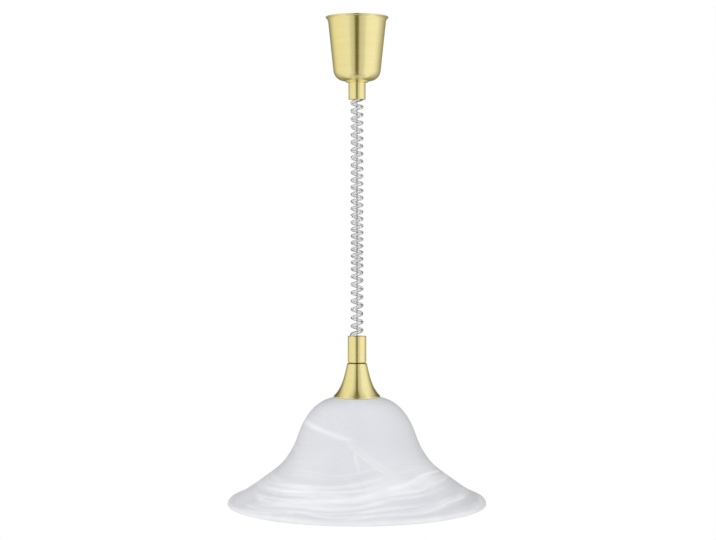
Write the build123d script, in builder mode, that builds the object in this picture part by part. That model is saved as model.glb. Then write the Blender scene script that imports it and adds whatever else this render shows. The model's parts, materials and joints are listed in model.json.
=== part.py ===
from build123d import *
import math
import os

# Rise-and-fall pendant lamp with a glass bell shade, as the pieces that it comes apart into.
# Millimetres, +Z up, origin in the middle of the hook eye. Heights are drops below the ceiling.

# Ceiling cup and its outlet
cup_height = 99.5
cup_throat_radius = 45.4
cup_base_radius = 34.8
cup_round = 17.0
cup_wall = 1.0
lip_radius = 2.2
lip_sides = 8
lip_proud = 1.5
flange_radius = 17.5
flange_height = 2.0
flange_edge = 0.6
collar_radius = 13.15
collar_bore_radius = 11.8
collar_length = 26.5
collar_edge = 1.0
collar_neck_radius = 12.5
collar_neck_proud = 0.5
locknut_height = 4.0
locknut_flats = 31.0
thread_clearance = 0.1
set_screw_radius = 2.0
set_screw_head_radius = 4.0
set_screw_head_length = 4.0
set_screw_reach = 7.0
slide_clearance = 0.5

# Rope and reel
rope_radius = 0.6
rope_clearance = 0.3
wind_radius = 13.0
drum_width = 18.4
drum_flange_radius = 16.0
drum_flange_thickness = 1.5
drum_hub_wall = 1.6
drum_sleeve_wall = 2.0
winding_width = 17.0
reel_rise = 38.5
reel_gap = 1.0
reel_side_gap = 0.6
housing_wall = 1.6
housing_ear_radius = 3.2
housing_ear_angle = 50.0
axle_radius = 3.0
axle_running_gap = 0.06
clip_radius = 5.5
clip_thickness = 0.8
axle_end = 0.7
spring_strip = 0.5
spring_turns = 3
spring_pitch = 1.5
spring_side_gap = 0.7

# Hanger
eye_rise = 75.5
eye_radius = 6.0
eye_rim = 4.0
hanger_thickness = 2.5
hanger_width = 14.0
hanger_length = 20.0
hanger_bolt_rise = 61.5
hanger_slot_gap = 0.05
boss_top_rise = 67.5
boss_width = 18.0
boss_depth = 16.0
bolt_radius = 2.0
screw_radius = 1.5
screw_head_radius = 2.8
screw_head_length = 2.0
screw_clearance = 0.1
bolt_head_radius = 3.6
bolt_head_length = 2.8
bolt_nut_flats = 7.0
bolt_nut_height = 3.2

# Outlet nozzle under the reel
foot_rise = 15.5
foot_depth = 18.0
foot_right = 17.0
nozzle_plate_radius = 17.5
nozzle_plate_thickness = 6.0
nozzle_reach = 11.5
nozzle_screw_x = 13.6
nozzle_screw_y = 5.0
guide_radius = 3.0
guide_head_radius = 4.0
guide_head_height = 2.0
guide_reach = 19.0

# Curly cord
cord_radius = 2.6
cord_sides = 6
coil_radius = 7.4
coil_turns = 31.5
coil_lead_turn = 1 / 12
coil_start_reach = 24.5
coil_waist_turn = 22.75
coil_ease_turns = 3.0
coil_stretch_top = 1.26
coil_stretch_bottom = 1.30
cord_clearance = 0.15
cord_end_radius = 8.0
cord_end_angle = 210.0
cord_bend_drop = 7.0
cord_bend_clear = 0.5

# Wiring inside the cup
clamp_length = 20.0
clamp_height = 8.0
clamp_thickness = 7.0
clamp_gap = 1.3
clamp_top_rise = 25.5
clamp_screw_y = 6.5
block_width = 30.0
block_height = 17.0
block_depth = 13.0
block_top_rise = 54.5
block_back_x = -9.5
pole_pitch = 10.0
well_radius = 2.2
well_depth = 4.0
pole_row_offset = 4.0
wire_radius = 0.8
wire_sides = 6
wire_spread = 1.7
wire_straight = 3.6
wire_bend_radius = 1.0
wire_seat = 4.0
lead_top_rise = 27.5

# Grip and cone
cord_drop = 364.0
grip_radius = 14.3
grip_wall = 1.2
grip_length = 41.7
grip_floor = 3.0
grip_edge = 0.5
cap_recess = 3.0
cap_thickness = 4.0
ferrule_radius = 2.2
ferrule_length = 7.0
groove_height = 1.8
groove_radius = 12.8
cone_top_radius = 15.2
cone_bottom_radius = 36.0
cone_height = 50.0
cone_top_angle = 13.5
cone_bottom_angle = 47.0
cone_wall = 1.0
cone_floor = 1.5
nipple_radius = 5.0
nipple_bore_radius = 3.4
nipple_top_gap = 3.0
nut_flats = 14.0
nut_height = 4.0

# Glass shade
shade_radius = 200.0
shade_height = 166.5
shade_wall = 4.0
shade_hole_radius = 21.0
shade_edge = 1.3
shoulder_start_radius = 42.8
shoulder_radius = 58.7
shoulder_share = 0.057
shoulder_angle = 57.0
shoulder_round = 8.0
waist_radius = 92.3
waist_share = 0.3616
waist_angle = 22.3
flare_radius = 133.3
flare_share = 0.7051
flare_angle = 51.3
skirt_radius = 186.3
skirt_share = 0.9195
skirt_angle = 61.0
lip_share = 0.9652
lip_round = 7.0
gasket_thickness = 0.8
gasket_width = 2.4
grommet_radius = 30.0
grommet_thickness = 2.0
grommet_neck_wall = 3.5
seat_clearance = 0.3
washer_thickness = 2.0

# Lampholder with an E27 screw shell
holder_gap = 1.0
holder_radius = 20.0
holder_wall = 2.4
holder_neck_radius = 8.5
holder_neck_height = 6.0
holder_thread_depth = 2.0
holder_cap_height = 29.0
holder_shell_radius = 20.8
holder_shell_height = 34.0
holder_mouth_radius = 19.0
holder_mouth_height = 12.0
insert_flange_height = 3.5
insert_flange_rise = 1.0
insert_top_radius = 12.0
insert_top_height = 5.0
insert_foot_height = 3.5
socket_radius = 13.2
socket_wall = 1.0
socket_length = 20.0
contact_radius = 3.5
contact_height = 1.6

# Levels that follow from the sizes above. Rises and reaches count up and down from the cup's bottom.
hook_drop = cup_height - eye_rise
boss_top_drop = cup_height - boss_top_rise
hanger_bolt_drop = cup_height - hanger_bolt_rise
block_top_drop = cup_height - block_top_rise
reel_drop = cup_height - reel_rise
lead_top_drop = cup_height - lead_top_rise
clamp_top_drop = cup_height - clamp_top_rise
foot_drop = cup_height - foot_rise
set_screw_drop = cup_height + set_screw_reach
nozzle_drop = cup_height + nozzle_reach
pivot_drop = cup_height + guide_reach
coil_start_drop = cup_height + coil_start_reach
cup_floor_drop = cup_height - cup_wall
collar_top_drop = cup_height + flange_height
collar_bottom_drop = collar_top_drop + collar_length
neck_top_drop = cup_floor_drop - locknut_height - collar_neck_proud
nozzle_radius = collar_bore_radius - slide_clearance
nozzle_shoulder_drop = foot_drop + nozzle_plate_thickness
drum_hub_radius = wind_radius - rope_radius
drum_half_width = drum_width / 2 + drum_flange_thickness
cavity_radius = drum_flange_radius + reel_gap
cavity_half_width = drum_half_width + reel_side_gap
housing_radius = cavity_radius + housing_wall
housing_half_width = cavity_half_width + housing_wall
drum_bore_radius = axle_radius + axle_running_gap
grip_drop = collar_bottom_drop + cord_drop
cap_drop = grip_drop + cap_recess
cap_bottom_drop = cap_drop + cap_thickness
grip_bottom_drop = grip_drop + grip_length
cone_drop = grip_bottom_drop + groove_height
cone_bottom_drop = cone_drop + cone_height
shade_drop = cone_bottom_drop + gasket_thickness
shade_inside_drop = shade_drop + shade_wall
washer_drop = shade_inside_drop + grommet_thickness
washer_bottom_drop = washer_drop + washer_thickness
holder_drop = washer_bottom_drop + nut_height + holder_gap
holder_joint_drop = holder_drop + holder_cap_height
insert_ledge_drop = holder_joint_drop + insert_flange_height - insert_flange_rise
holder_mouth_drop = holder_joint_drop + holder_shell_height
insert_foot_drop = insert_ledge_drop + insert_foot_height
socket_drop = insert_foot_drop + contact_height + seat_clearance
nipple_top_drop = grip_bottom_drop - grip_floor - nut_height - nipple_top_gap
nipple_bottom_drop = holder_drop + holder_neck_height + holder_thread_depth
coil_end_drop = cap_drop - cord_bend_drop - cord_bend_clear
cord_hole_radius = cord_radius + cord_clearance


def level(drop):
    """Height in the lamp's frame of a point this far below the ceiling."""
    return hook_drop - drop


def at(radius, drop):
    """Point of a turned outline, from its radius and its drop."""
    return (radius, level(drop))


def ring(outer_radius, inner_radius, top_drop, bottom_drop):
    """Plain bored disc between two drops, on the lamp's axis."""
    with BuildPart() as disc:
        with BuildSketch(Plane.XY.offset(level(bottom_drop))):
            Circle(outer_radius)
            Circle(inner_radius, mode=Mode.SUBTRACT)
        extrude(amount=bottom_drop - top_drop)
    return disc.part


def hex_nut(flats, bore_radius, top_drop, height):
    """Hexagon nut on the lamp's axis."""
    with BuildPart() as nut:
        with BuildSketch(Plane.XY.offset(level(top_drop + height))):
            RegularPolygon(radius=flats / 2, side_count=6, major_radius=False)
            Circle(bore_radius, mode=Mode.SUBTRACT)
        extrude(amount=height)
    return nut.part


def cross_screw(x, drop, shank_radius, head_radius, head_length, start_y, end_y):
    """Screw along Y, with its head outside start_y and its shank to end_y."""
    head_side = 1 if start_y > end_y else -1
    with BuildPart() as screw:
        with BuildSketch(Plane.XZ.offset(-start_y)):
            with Locations((x, level(drop))):
                Circle(shank_radius)
        extrude(amount=start_y - end_y)
        with BuildSketch(Plane.XZ.offset(-start_y)):
            with Locations((x, level(drop))):
                Circle(head_radius)
        extrude(amount=-head_side * head_length)
    return screw.part


def biarc(start, start_direction, end, end_direction):
    """Two arcs from start to end that leave and arrive along the given directions."""
    start = Vector(*start)
    end = Vector(*end)
    leave = Vector(*start_direction).normalized()
    arrive = Vector(*end_direction).normalized()
    chord = end - start
    both = leave + arrive
    square = both.dot(both) - 4
    linear = -2 * chord.dot(both)
    constant = chord.dot(chord)
    reach = (-linear - math.sqrt(linear**2 - 4 * square * constant)) / (2 * square)
    first = start + leave * reach
    last = end - arrive * reach
    middle = (first + last) * 0.5
    radii.append(arc_radius(start, leave, middle))
    radii.append(arc_radius(end, arrive, middle))
    return [
        TangentArc(start, middle, tangent=leave, mode=Mode.PRIVATE),
        TangentArc(middle, end, tangent=last - first, mode=Mode.PRIVATE),
    ]


def arc_radius(point, direction, other):
    """Radius of the arc through two points with this direction at the first."""
    chord = other - point
    off_line = chord.cross(direction).length
    if off_line < 1e-9:
        return math.inf
    return chord.dot(chord) / (2 * off_line)


def outline_direction(angle):
    """Direction of a turned outline that leaves the vertical by this angle on its way down."""
    return (math.sin(math.radians(angle)), -math.cos(math.radians(angle)), 0)


radii = []

# Ceiling cup: a spun brass shell with a rolled lip and a hole for the outlet
lip_drop = lip_radius * math.cos(math.pi / lip_sides)
with BuildPart() as ceiling_cup:
    with BuildSketch(Plane.XZ):
        with BuildLine():
            FilletPolyline(
                at(cup_throat_radius, lip_drop),
                at(cup_base_radius, cup_height),
                at(collar_neck_radius + thread_clearance, cup_height),
                radius=cup_round,
            )
            offset(amount=cup_wall, side=Side.RIGHT)
        make_face()
        with Locations(at(cup_throat_radius + lip_proud, lip_drop)):
            RegularPolygon(radius=lip_radius, side_count=lip_sides, rotation=180 / lip_sides)
    revolve(axis=Axis.Z)

# Flange ring: the small turned step between cup and collar
with BuildPart() as flange_ring:
    with BuildSketch(Plane.XY.offset(level(collar_top_drop))):
        Circle(flange_radius)
        Circle(collar_neck_radius + thread_clearance, mode=Mode.SUBTRACT)
    extrude(amount=flange_height)
    chamfer(flange_ring.edges().group_by(Axis.Z)[0].sort_by(SortBy.LENGTH)[-1], flange_edge)

# Outlet collar: a turned tube with a threaded neck that goes up through ring and cup
with BuildPart() as outlet_collar:
    with BuildSketch(Plane.XY.offset(level(collar_bottom_drop))):
        Circle(collar_radius)
    extrude(amount=collar_length)
    with BuildSketch(Plane.XY.offset(level(collar_top_drop))):
        Circle(collar_neck_radius)
    extrude(amount=collar_top_drop - neck_top_drop)
    chamfer(outlet_collar.edges().group_by(Axis.Z)[0], collar_edge)
    with BuildSketch(Plane.XY.offset(level(collar_bottom_drop))):
        Circle(collar_bore_radius)
    extrude(amount=collar_bottom_drop - neck_top_drop, mode=Mode.SUBTRACT)
    with BuildSketch(Plane.XZ):
        with Locations((0, level(set_screw_drop))):
            Circle(set_screw_radius + thread_clearance)
    extrude(amount=-2 * collar_radius, mode=Mode.SUBTRACT)

collar_locknut = hex_nut(
    locknut_flats, collar_neck_radius + thread_clearance, cup_floor_drop - locknut_height, locknut_height
)

# Set screw at the back of the collar, which holds the cup up by gripping the nozzle
collar_set_screw = cross_screw(
    0,
    set_screw_drop,
    set_screw_radius,
    set_screw_head_radius,
    set_screw_head_length,
    collar_radius + seat_clearance,
    nozzle_radius + thread_clearance,
)

# Hanger plate with the eye that hangs on the ceiling hook
with BuildPart() as hanger_plate:
    with BuildSketch(Plane.XZ.offset(-hanger_thickness / 2)):
        Circle(eye_radius + eye_rim)
        with Locations((0, -hanger_length / 2)):
            Rectangle(hanger_width, hanger_length)
        Circle(eye_radius, mode=Mode.SUBTRACT)
        with Locations((0, level(hanger_bolt_drop))):
            Circle(bolt_radius + screw_clearance, mode=Mode.SUBTRACT)
    extrude(amount=hanger_thickness)

hanger_bolt = cross_screw(
    0,
    hanger_bolt_drop,
    bolt_radius,
    bolt_head_radius,
    bolt_head_length,
    -boss_depth / 2,
    boss_depth / 2 + bolt_nut_height,
)

with BuildPart() as hanger_nut:
    with BuildSketch(Plane.XZ.offset(-boss_depth / 2)):
        with Locations((0, level(hanger_bolt_drop))):
            RegularPolygon(radius=bolt_nut_flats / 2, side_count=6, major_radius=False)
            Circle(bolt_radius + screw_clearance, mode=Mode.SUBTRACT)
    extrude(amount=-bolt_nut_height)

# Reel housing in two halves, split on the lamp's axis, with a boss for the hanger, a pad for the
# terminal block, a foot for the nozzle and two ears for the screws that join the halves
reel_centre = (wind_radius, level(reel_drop))
ear_reach = housing_radius + housing_ear_radius / 2
ears = [
    (
        wind_radius + ear_reach * math.cos(math.radians(angle)),
        level(reel_drop) + ear_reach * math.sin(math.radians(angle)),
    )
    for angle in (housing_ear_angle, -housing_ear_angle)
]
foot_left = -(coil_radius - cord_radius - thread_clearance)
foot_height = foot_drop - reel_drop
boss_height = reel_drop - boss_top_drop
pad_right = wind_radius
pole_drops = [block_top_drop + block_height / 2 + side * pole_row_offset for side in (-1, 1)]


def housing_half(side):
    """One half of the reel housing, towards +Y or -Y."""
    with BuildPart() as half:
        with BuildSketch(Plane.XZ):
            with Locations(reel_centre):
                Circle(housing_radius)
            with Locations(*ears):
                Circle(housing_ear_radius)
        extrude(amount=-side * housing_half_width)
        with BuildSketch(Plane.XZ):
            with Locations(((foot_left + foot_right) / 2, level(foot_drop) + foot_height / 2)):
                Rectangle(foot_right - foot_left, foot_height)
        extrude(amount=-side * foot_depth / 2)
        with BuildSketch(Plane.XZ):
            with Locations((0, level(boss_top_drop) - boss_height / 2)):
                Rectangle(boss_width, boss_height)
        extrude(amount=-side * boss_depth / 2)
        with BuildSketch(Plane.XZ):
            with Locations(((block_back_x + pad_right) / 2, level(block_top_drop + block_height / 2))):
                Rectangle(pad_right - block_back_x, block_height)
        extrude(amount=-side * pole_pitch)
        with BuildSketch(Plane.XZ):
            with Locations(reel_centre):
                Circle(cavity_radius)
        extrude(amount=-side * cavity_half_width, mode=Mode.SUBTRACT)
        with BuildSketch(Plane.XZ):
            with Locations(reel_centre):
                Circle(axle_radius)
            with Locations(*ears):
                Circle(screw_radius + screw_clearance)
            with Locations((0, level(hanger_bolt_drop))):
                Circle(bolt_radius + screw_clearance)
        extrude(amount=-side * 2 * housing_half_width, mode=Mode.SUBTRACT)
        with BuildSketch(Plane.XZ):
            with Locations((0, -hanger_length / 2)):
                Rectangle(2 * boss_width, hanger_length + 2 * hanger_slot_gap)
        extrude(amount=-side * (hanger_thickness / 2 + hanger_slot_gap), mode=Mode.SUBTRACT)
        with BuildSketch(Plane.XY.offset(level(foot_drop))):
            Circle(rope_radius + 3 * rope_clearance)
        extrude(amount=foot_height, mode=Mode.SUBTRACT)
        with BuildSketch(Plane.XY.offset(level(foot_drop))):
            with Locations((nozzle_screw_x, side * nozzle_screw_y)):
                Circle(screw_radius)
        extrude(amount=foot_height / 3, mode=Mode.SUBTRACT)
        with BuildSketch(Plane.YZ.offset(foot_left)):
            with Locations((side * clamp_screw_y, level(clamp_top_drop + clamp_height / 2))):
                Circle(screw_radius)
        extrude(amount=-foot_left, mode=Mode.SUBTRACT)
    return half.part


reel_housing_front = housing_half(-1)
reel_housing_back = housing_half(1)

housing_screws = [
    cross_screw(
        x,
        hook_drop - z,
        screw_radius,
        screw_head_radius,
        screw_head_length,
        -housing_half_width,
        housing_half_width,
    )
    for x, z in ears
]

# Reel axle with a clip at each end
axle_half_length = housing_half_width + clip_thickness + axle_end
with BuildPart() as reel_axle:
    with BuildSketch(Plane.XZ.offset(-axle_half_length)):
        with Locations(reel_centre):
            Circle(axle_radius)
    extrude(amount=2 * axle_half_length)

axle_clips = []
for side in (-1, 1):
    with BuildPart() as axle_clip:
        with BuildSketch(Plane.XZ.offset(-side * housing_half_width)):
            with Locations(reel_centre):
                Circle(clip_radius)
                Circle(axle_radius, mode=Mode.SUBTRACT)
        extrude(amount=-side * clip_thickness)
    axle_clips.append(axle_clip.part)

# Rope drum: a hub between two flanges, hollow for the clock spring, with a sleeve on the axle
spring_outer_radius = drum_hub_radius - drum_hub_wall
sleeve_radius = drum_bore_radius + drum_sleeve_wall
with BuildPart() as rope_drum:
    with BuildSketch(Plane.XZ.offset(-drum_half_width)):
        with Locations(reel_centre):
            Circle(drum_flange_radius)
    extrude(amount=drum_flange_thickness)
    with BuildSketch(Plane.XZ.offset(-drum_width / 2)):
        with Locations(reel_centre):
            Circle(drum_hub_radius)
    extrude(amount=drum_width)
    with BuildSketch(Plane.XZ.offset(drum_width / 2)):
        with Locations(reel_centre):
            Circle(drum_flange_radius)
    extrude(amount=drum_flange_thickness)
    with BuildSketch(Plane.XZ.offset(-drum_width / 2 + drum_hub_wall)):
        with Locations(reel_centre):
            Circle(spring_outer_radius)
            Circle(sleeve_radius, mode=Mode.SUBTRACT)
    extrude(amount=drum_width, mode=Mode.SUBTRACT)
    with BuildSketch(Plane.XZ.offset(-drum_half_width)):
        with Locations(reel_centre):
            Circle(drum_bore_radius)
    extrude(amount=2 * drum_half_width, mode=Mode.SUBTRACT)

# The rope wound on the drum, as a plain sleeve because the closed housing hides it
with BuildPart() as rope_winding:
    with BuildSketch(Plane.XZ.offset(-winding_width / 2)):
        with Locations(reel_centre):
            Circle(wind_radius + rope_radius)
            Circle(drum_hub_radius, mode=Mode.SUBTRACT)
    extrude(amount=winding_width)


def spiral_arcs(first_radius):
    """Half circles about two centres, which make a flat spiral that grows by one pitch a turn."""
    arcs = []
    radius = first_radius
    left = wind_radius - radius
    for half_turn in range(2 * spring_turns):
        above = 1 if half_turn % 2 == 0 else -1
        width = 2 * radius + spring_pitch / 2
        right = left + above * width
        top = level(reel_drop) + above * width / 2
        arcs.append(ThreePointArc((left, level(reel_drop)), ((left + right) / 2, top), (right, level(reel_drop))))
        left = right
        radius = width / 2
    return arcs


# Clock spring: a steel strip wound between sleeve and hub, which balances the lamp's weight
spring_first_radius = sleeve_radius + spring_strip / 2
with BuildPart() as clock_spring:
    with BuildSketch(Plane.XZ.offset(-drum_width / 2 + drum_hub_wall + spring_side_gap)):
        with BuildLine():
            inner_edge = spiral_arcs(spring_first_radius)
            outer_edge = spiral_arcs(spring_first_radius + spring_strip)
            Line(inner_edge[0] @ 0, outer_edge[0] @ 0)
            Line(inner_edge[-1] @ 1, outer_edge[-1] @ 1)
        make_face()
    extrude(amount=drum_width - drum_hub_wall - 2 * spring_side_gap)

# Outlet nozzle: a moulded plug under the reel, with a hole for the rope guide and one for the cord
with BuildPart() as outlet_nozzle:
    with BuildSketch(Plane.XY.offset(level(nozzle_shoulder_drop))):
        Circle(nozzle_plate_radius)
    extrude(amount=nozzle_plate_thickness)
    with BuildSketch(Plane.XY.offset(level(nozzle_drop))):
        Circle(nozzle_radius)
    extrude(amount=nozzle_drop - nozzle_shoulder_drop)
    with BuildSketch(Plane.XY.offset(level(nozzle_drop))):
        Circle(guide_radius + thread_clearance)
        with Locations((-coil_radius, 0)):
            Circle(cord_hole_radius)
        with Locations((nozzle_screw_x, nozzle_screw_y), (nozzle_screw_x, -nozzle_screw_y)):
            Circle(screw_radius + screw_clearance)
    extrude(amount=nozzle_drop - foot_drop, mode=Mode.SUBTRACT)
    with BuildSketch(Plane.XY.offset(level(foot_drop))):
        Circle(guide_head_radius + thread_clearance)
    extrude(amount=-guide_head_height, mode=Mode.SUBTRACT)
    with BuildSketch(Plane.XY.offset(level(nozzle_shoulder_drop))):
        with Locations((nozzle_screw_x, nozzle_screw_y), (nozzle_screw_x, -nozzle_screw_y)):
            Circle(screw_head_radius + screw_clearance)
    extrude(amount=screw_head_length, mode=Mode.SUBTRACT)

# Screws that hold the nozzle to the foot of the housing, with sunk heads
nozzle_screws = []
for side in (-1, 1):
    with BuildPart() as nozzle_screw:
        with BuildSketch(Plane.XY.offset(level(nozzle_shoulder_drop))):
            with Locations((nozzle_screw_x, side * nozzle_screw_y)):
                Circle(screw_head_radius)
        extrude(amount=screw_head_length)
        with BuildSketch(Plane.XY.offset(level(nozzle_shoulder_drop))):
            with Locations((nozzle_screw_x, side * nozzle_screw_y)):
                Circle(screw_radius - screw_clearance)
        extrude(amount=nozzle_plate_thickness + foot_height / 4)
    nozzle_screws.append(nozzle_screw.part)

# Rope guide: a headed tube that ends where the rope starts to swing
with BuildPart() as rope_guide:
    with BuildSketch(Plane.XY.offset(level(pivot_drop))):
        Circle(guide_radius)
    extrude(amount=pivot_drop - foot_drop)
    with BuildSketch(Plane.XY.offset(level(foot_drop + guide_head_height))):
        Circle(guide_head_radius)
    extrude(amount=guide_head_height)
    with BuildSketch(Plane.XY.offset(level(pivot_drop))):
        Circle(rope_radius + rope_clearance)
    extrude(amount=pivot_drop - foot_drop, mode=Mode.SUBTRACT)

# Rope from the drum to the end of its guide
rope_lead_drop = reel_drop + wind_radius / 2
with BuildPart() as rope_in_reel:
    with BuildSketch(Plane.XY.offset(level(pivot_drop))):
        Circle(rope_radius)
    extrude(amount=pivot_drop - rope_lead_drop)

# Steel rope from the guide to the ferrule in the grip
ferrule_end_drop = cap_bottom_drop + ferrule_length
with BuildPart() as steel_rope:
    with BuildSketch(Plane.XY.offset(level(ferrule_end_drop))):
        Circle(rope_radius)
    extrude(amount=ferrule_end_drop - pivot_drop)

# Cord's straight lead, from the wiring through clamp and nozzle
with BuildPart() as cord_lead:
    with BuildSketch(Plane.XY.offset(level(nozzle_drop))):
        with Locations((-coil_radius, 0)):
            RegularPolygon(radius=cord_radius, side_count=cord_sides)
    extrude(amount=nozzle_drop - lead_top_drop)


def coil_stretch(turn):
    """Drop covered by the curls up to this turn, in pitches of the waist, where they are closest."""
    to_waist = min(turn, coil_waist_turn)
    covered = coil_stretch_top * to_waist
    covered -= (coil_stretch_top - 1) * to_waist**2 / (2 * coil_waist_turn)
    eased = min(max(turn - coil_waist_turn, 0), coil_ease_turns)
    covered += eased + (coil_stretch_bottom - 1) * eased**2 / (2 * coil_ease_turns)
    covered += max(turn - coil_waist_turn - coil_ease_turns, 0) * coil_stretch_bottom
    return covered


def coil_point(turn):
    """Middle of the wire at this turn. The curls go down clockwise seen from above."""
    angle = math.radians(90 - 360 * turn)
    share = coil_stretch(turn) / coil_stretch(coil_turns)
    drop = coil_start_drop + share * (coil_end_drop - coil_start_drop)
    return Vector(coil_radius * math.cos(angle), coil_radius * math.sin(angle), level(drop))


def coil_direction(turn):
    """Direction of the wire at this turn, from two points close by."""
    step = 1e-4
    return (coil_point(turn + step) - coil_point(turn - step)).normalized()


def least_gap(points, spacing, wire_diameter):
    """Least gap between stretches of wire that are over half a turn apart along it."""
    apart = math.ceil(math.pi * coil_radius / spacing)
    nearest = min(
        (points[i] - points[j]).length
        for i in range(len(points))
        for j in range(i + apart, min(i + 5 * apart, len(points)))
    )
    return nearest - wire_diameter


# Curly cord: straight out of the nozzle, the curls as biarcs of half a turn, then down into the cap
down = Vector(0, 0, -1)
cord_start = Vector(-coil_radius, 0, level(nozzle_drop))
cord_bend_start = cord_start + down * (2 * cord_radius)
cord_end_x = cord_end_radius * math.cos(math.radians(cord_end_angle))
cord_end_y = cord_end_radius * math.sin(math.radians(cord_end_angle))
cord_bend_end = Vector(cord_end_x, cord_end_y, level(cap_drop - cord_bend_clear))
cord_end = cord_bend_end + down * (2 * cord_radius)
curl_count = math.ceil(2 * (coil_turns + coil_lead_turn))
curl_step = (coil_turns + coil_lead_turn) / curl_count
curl_turns = [-coil_lead_turn + curl_step * step for step in range(curl_count + 1)]

with BuildPart() as spiral_cord:
    with BuildLine() as cord_path:
        Line(cord_start, cord_bend_start)
        add(biarc(cord_bend_start, down, coil_point(curl_turns[0]), coil_direction(curl_turns[0])))
        for first_turn, next_turn in zip(curl_turns, curl_turns[1:]):
            add(
                biarc(
                    coil_point(first_turn),
                    coil_direction(first_turn),
                    coil_point(next_turn),
                    coil_direction(next_turn),
                )
            )
        add(biarc(coil_point(coil_turns), coil_direction(coil_turns), cord_bend_end, down))
        Line(cord_bend_end, cord_end)
    with BuildSketch(Plane(origin=cord_start, z_dir=down)):
        RegularPolygon(radius=cord_radius, side_count=cord_sides)
    sweep(clean=False)

cord_wire = cord_path.wire()
point_spacing = 1.0
cord_points = [cord_wire.position_at(i * point_spacing / cord_wire.length) for i in range(int(cord_wire.length))]
cord_area = cord_sides / 2 * cord_radius**2 * math.sin(2 * math.pi / cord_sides)
print(f"curly cord: length {cord_wire.length:.0f} mm, tightest radius {min(radii):.2f} mm")
print(f"curly cord: least gap to itself {least_gap(cord_points, point_spacing, 2 * cord_radius):.2f} mm")
print(f"curly cord: volume {spiral_cord.part.volume:.0f}, section by length {cord_area * cord_wire.length:.0f} mm3")

# Cord clamp against the housing's foot, with its two screws
clamp_right = foot_left - clamp_gap
clamp_middle_drop = clamp_top_drop + clamp_height / 2
with BuildPart() as cord_clamp:
    with BuildSketch(Plane.YZ.offset(clamp_right)):
        with Locations((0, level(clamp_middle_drop))):
            Rectangle(clamp_length, clamp_height)
        with Locations((clamp_screw_y, level(clamp_middle_drop)), (-clamp_screw_y, level(clamp_middle_drop))):
            Circle(screw_radius + screw_clearance, mode=Mode.SUBTRACT)
    extrude(amount=-clamp_thickness)
    with BuildSketch(Plane.XY.offset(level(clamp_top_drop + clamp_height))):
        with Locations((-coil_radius, 0)):
            Circle(cord_radius + thread_clearance)
        with Locations((0, 0)):
            Rectangle(2 * coil_radius, 2 * (cord_radius + thread_clearance))
    extrude(amount=clamp_height, mode=Mode.SUBTRACT)

clamp_screws = []
for side in (-1, 1):
    with BuildPart() as clamp_screw:
        with BuildSketch(Plane.YZ.offset(clamp_right - clamp_thickness)):
            with Locations((side * clamp_screw_y, level(clamp_middle_drop))):
                Circle(screw_head_radius)
        extrude(amount=-screw_head_length)
        with BuildSketch(Plane.YZ.offset(clamp_right - clamp_thickness)):
            with Locations((side * clamp_screw_y, level(clamp_middle_drop))):
                Circle(screw_radius - screw_clearance)
        extrude(amount=clamp_thickness + clamp_gap - foot_left / 2)
    clamp_screws.append(clamp_screw.part)

# Terminal block on the housing's pad, with a screw well at each end of its three poles
poles = [-pole_pitch, 0, pole_pitch]
wells = [(y, level(drop)) for y in poles for drop in pole_drops]
block_front_x = block_back_x - block_depth
wire_x = block_back_x - block_depth / 2
block_bottom_drop = block_top_drop + block_height
with BuildPart() as terminal_block:
    with BuildSketch(Plane.YZ.offset(block_front_x)):
        with Locations((0, level(block_top_drop + block_height / 2))):
            Rectangle(block_width, block_height)
    extrude(amount=block_depth)
    with BuildSketch(Plane.YZ.offset(block_front_x)):
        with Locations(*wells):
            Circle(well_radius)
    extrude(amount=well_depth, mode=Mode.SUBTRACT)
    with BuildSketch(Plane.XY.offset(level(block_bottom_drop))):
        with Locations(*[(wire_x, y) for y in poles]):
            Circle(wire_radius + screw_clearance)
    extrude(amount=wire_seat, mode=Mode.SUBTRACT)

terminal_screws = []
for well in wells:
    with BuildPart() as terminal_screw:
        with BuildSketch(Plane.YZ.offset(block_front_x + well_depth)):
            with Locations(well):
                Circle(well_radius - screw_clearance)
        extrude(amount=-well_depth / 2)
    terminal_screws.append(terminal_screw.part)


def conductor(pole):
    """Insulated wire from the end of the cord's sheath up into its pole of the terminal block."""
    start_y = pole / pole_pitch * wire_spread
    sheath_end = level(lead_top_drop)
    block_bottom = level(block_bottom_drop)
    with BuildPart() as wire:
        with BuildLine():
            FilletPolyline(
                (-coil_radius, start_y, sheath_end),
                (-coil_radius, start_y, sheath_end + wire_straight),
                (wire_x, pole, block_bottom - wire_straight),
                (wire_x, pole, block_bottom + wire_seat),
                radius=wire_bend_radius,
            )
        with BuildSketch(Plane.XY.offset(sheath_end)):
            with Locations((-coil_radius, start_y)):
                RegularPolygon(radius=wire_radius, side_count=wire_sides)
        sweep()
    return wire.part


live_wire = conductor(-pole_pitch)
neutral_wire = conductor(pole_pitch)
earth_wire = conductor(0)

# Grip tube with a floor for the nipple
grip_bore_radius = grip_radius - grip_wall
with BuildPart() as grip_tube:
    with BuildSketch(Plane.XY.offset(level(grip_bottom_drop))):
        Circle(grip_radius)
    extrude(amount=grip_length)
    with BuildSketch(Plane.XY.offset(level(grip_bottom_drop - grip_floor))):
        Circle(grip_bore_radius)
    extrude(amount=grip_length, mode=Mode.SUBTRACT)
    with BuildSketch(Plane.XY.offset(level(grip_bottom_drop))):
        Circle(nipple_radius + thread_clearance)
    extrude(amount=grip_floor, mode=Mode.SUBTRACT)
    chamfer(grip_tube.edges().group_by(Axis.Z)[-1].sort_by(SortBy.LENGTH)[-1], grip_edge)

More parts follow.
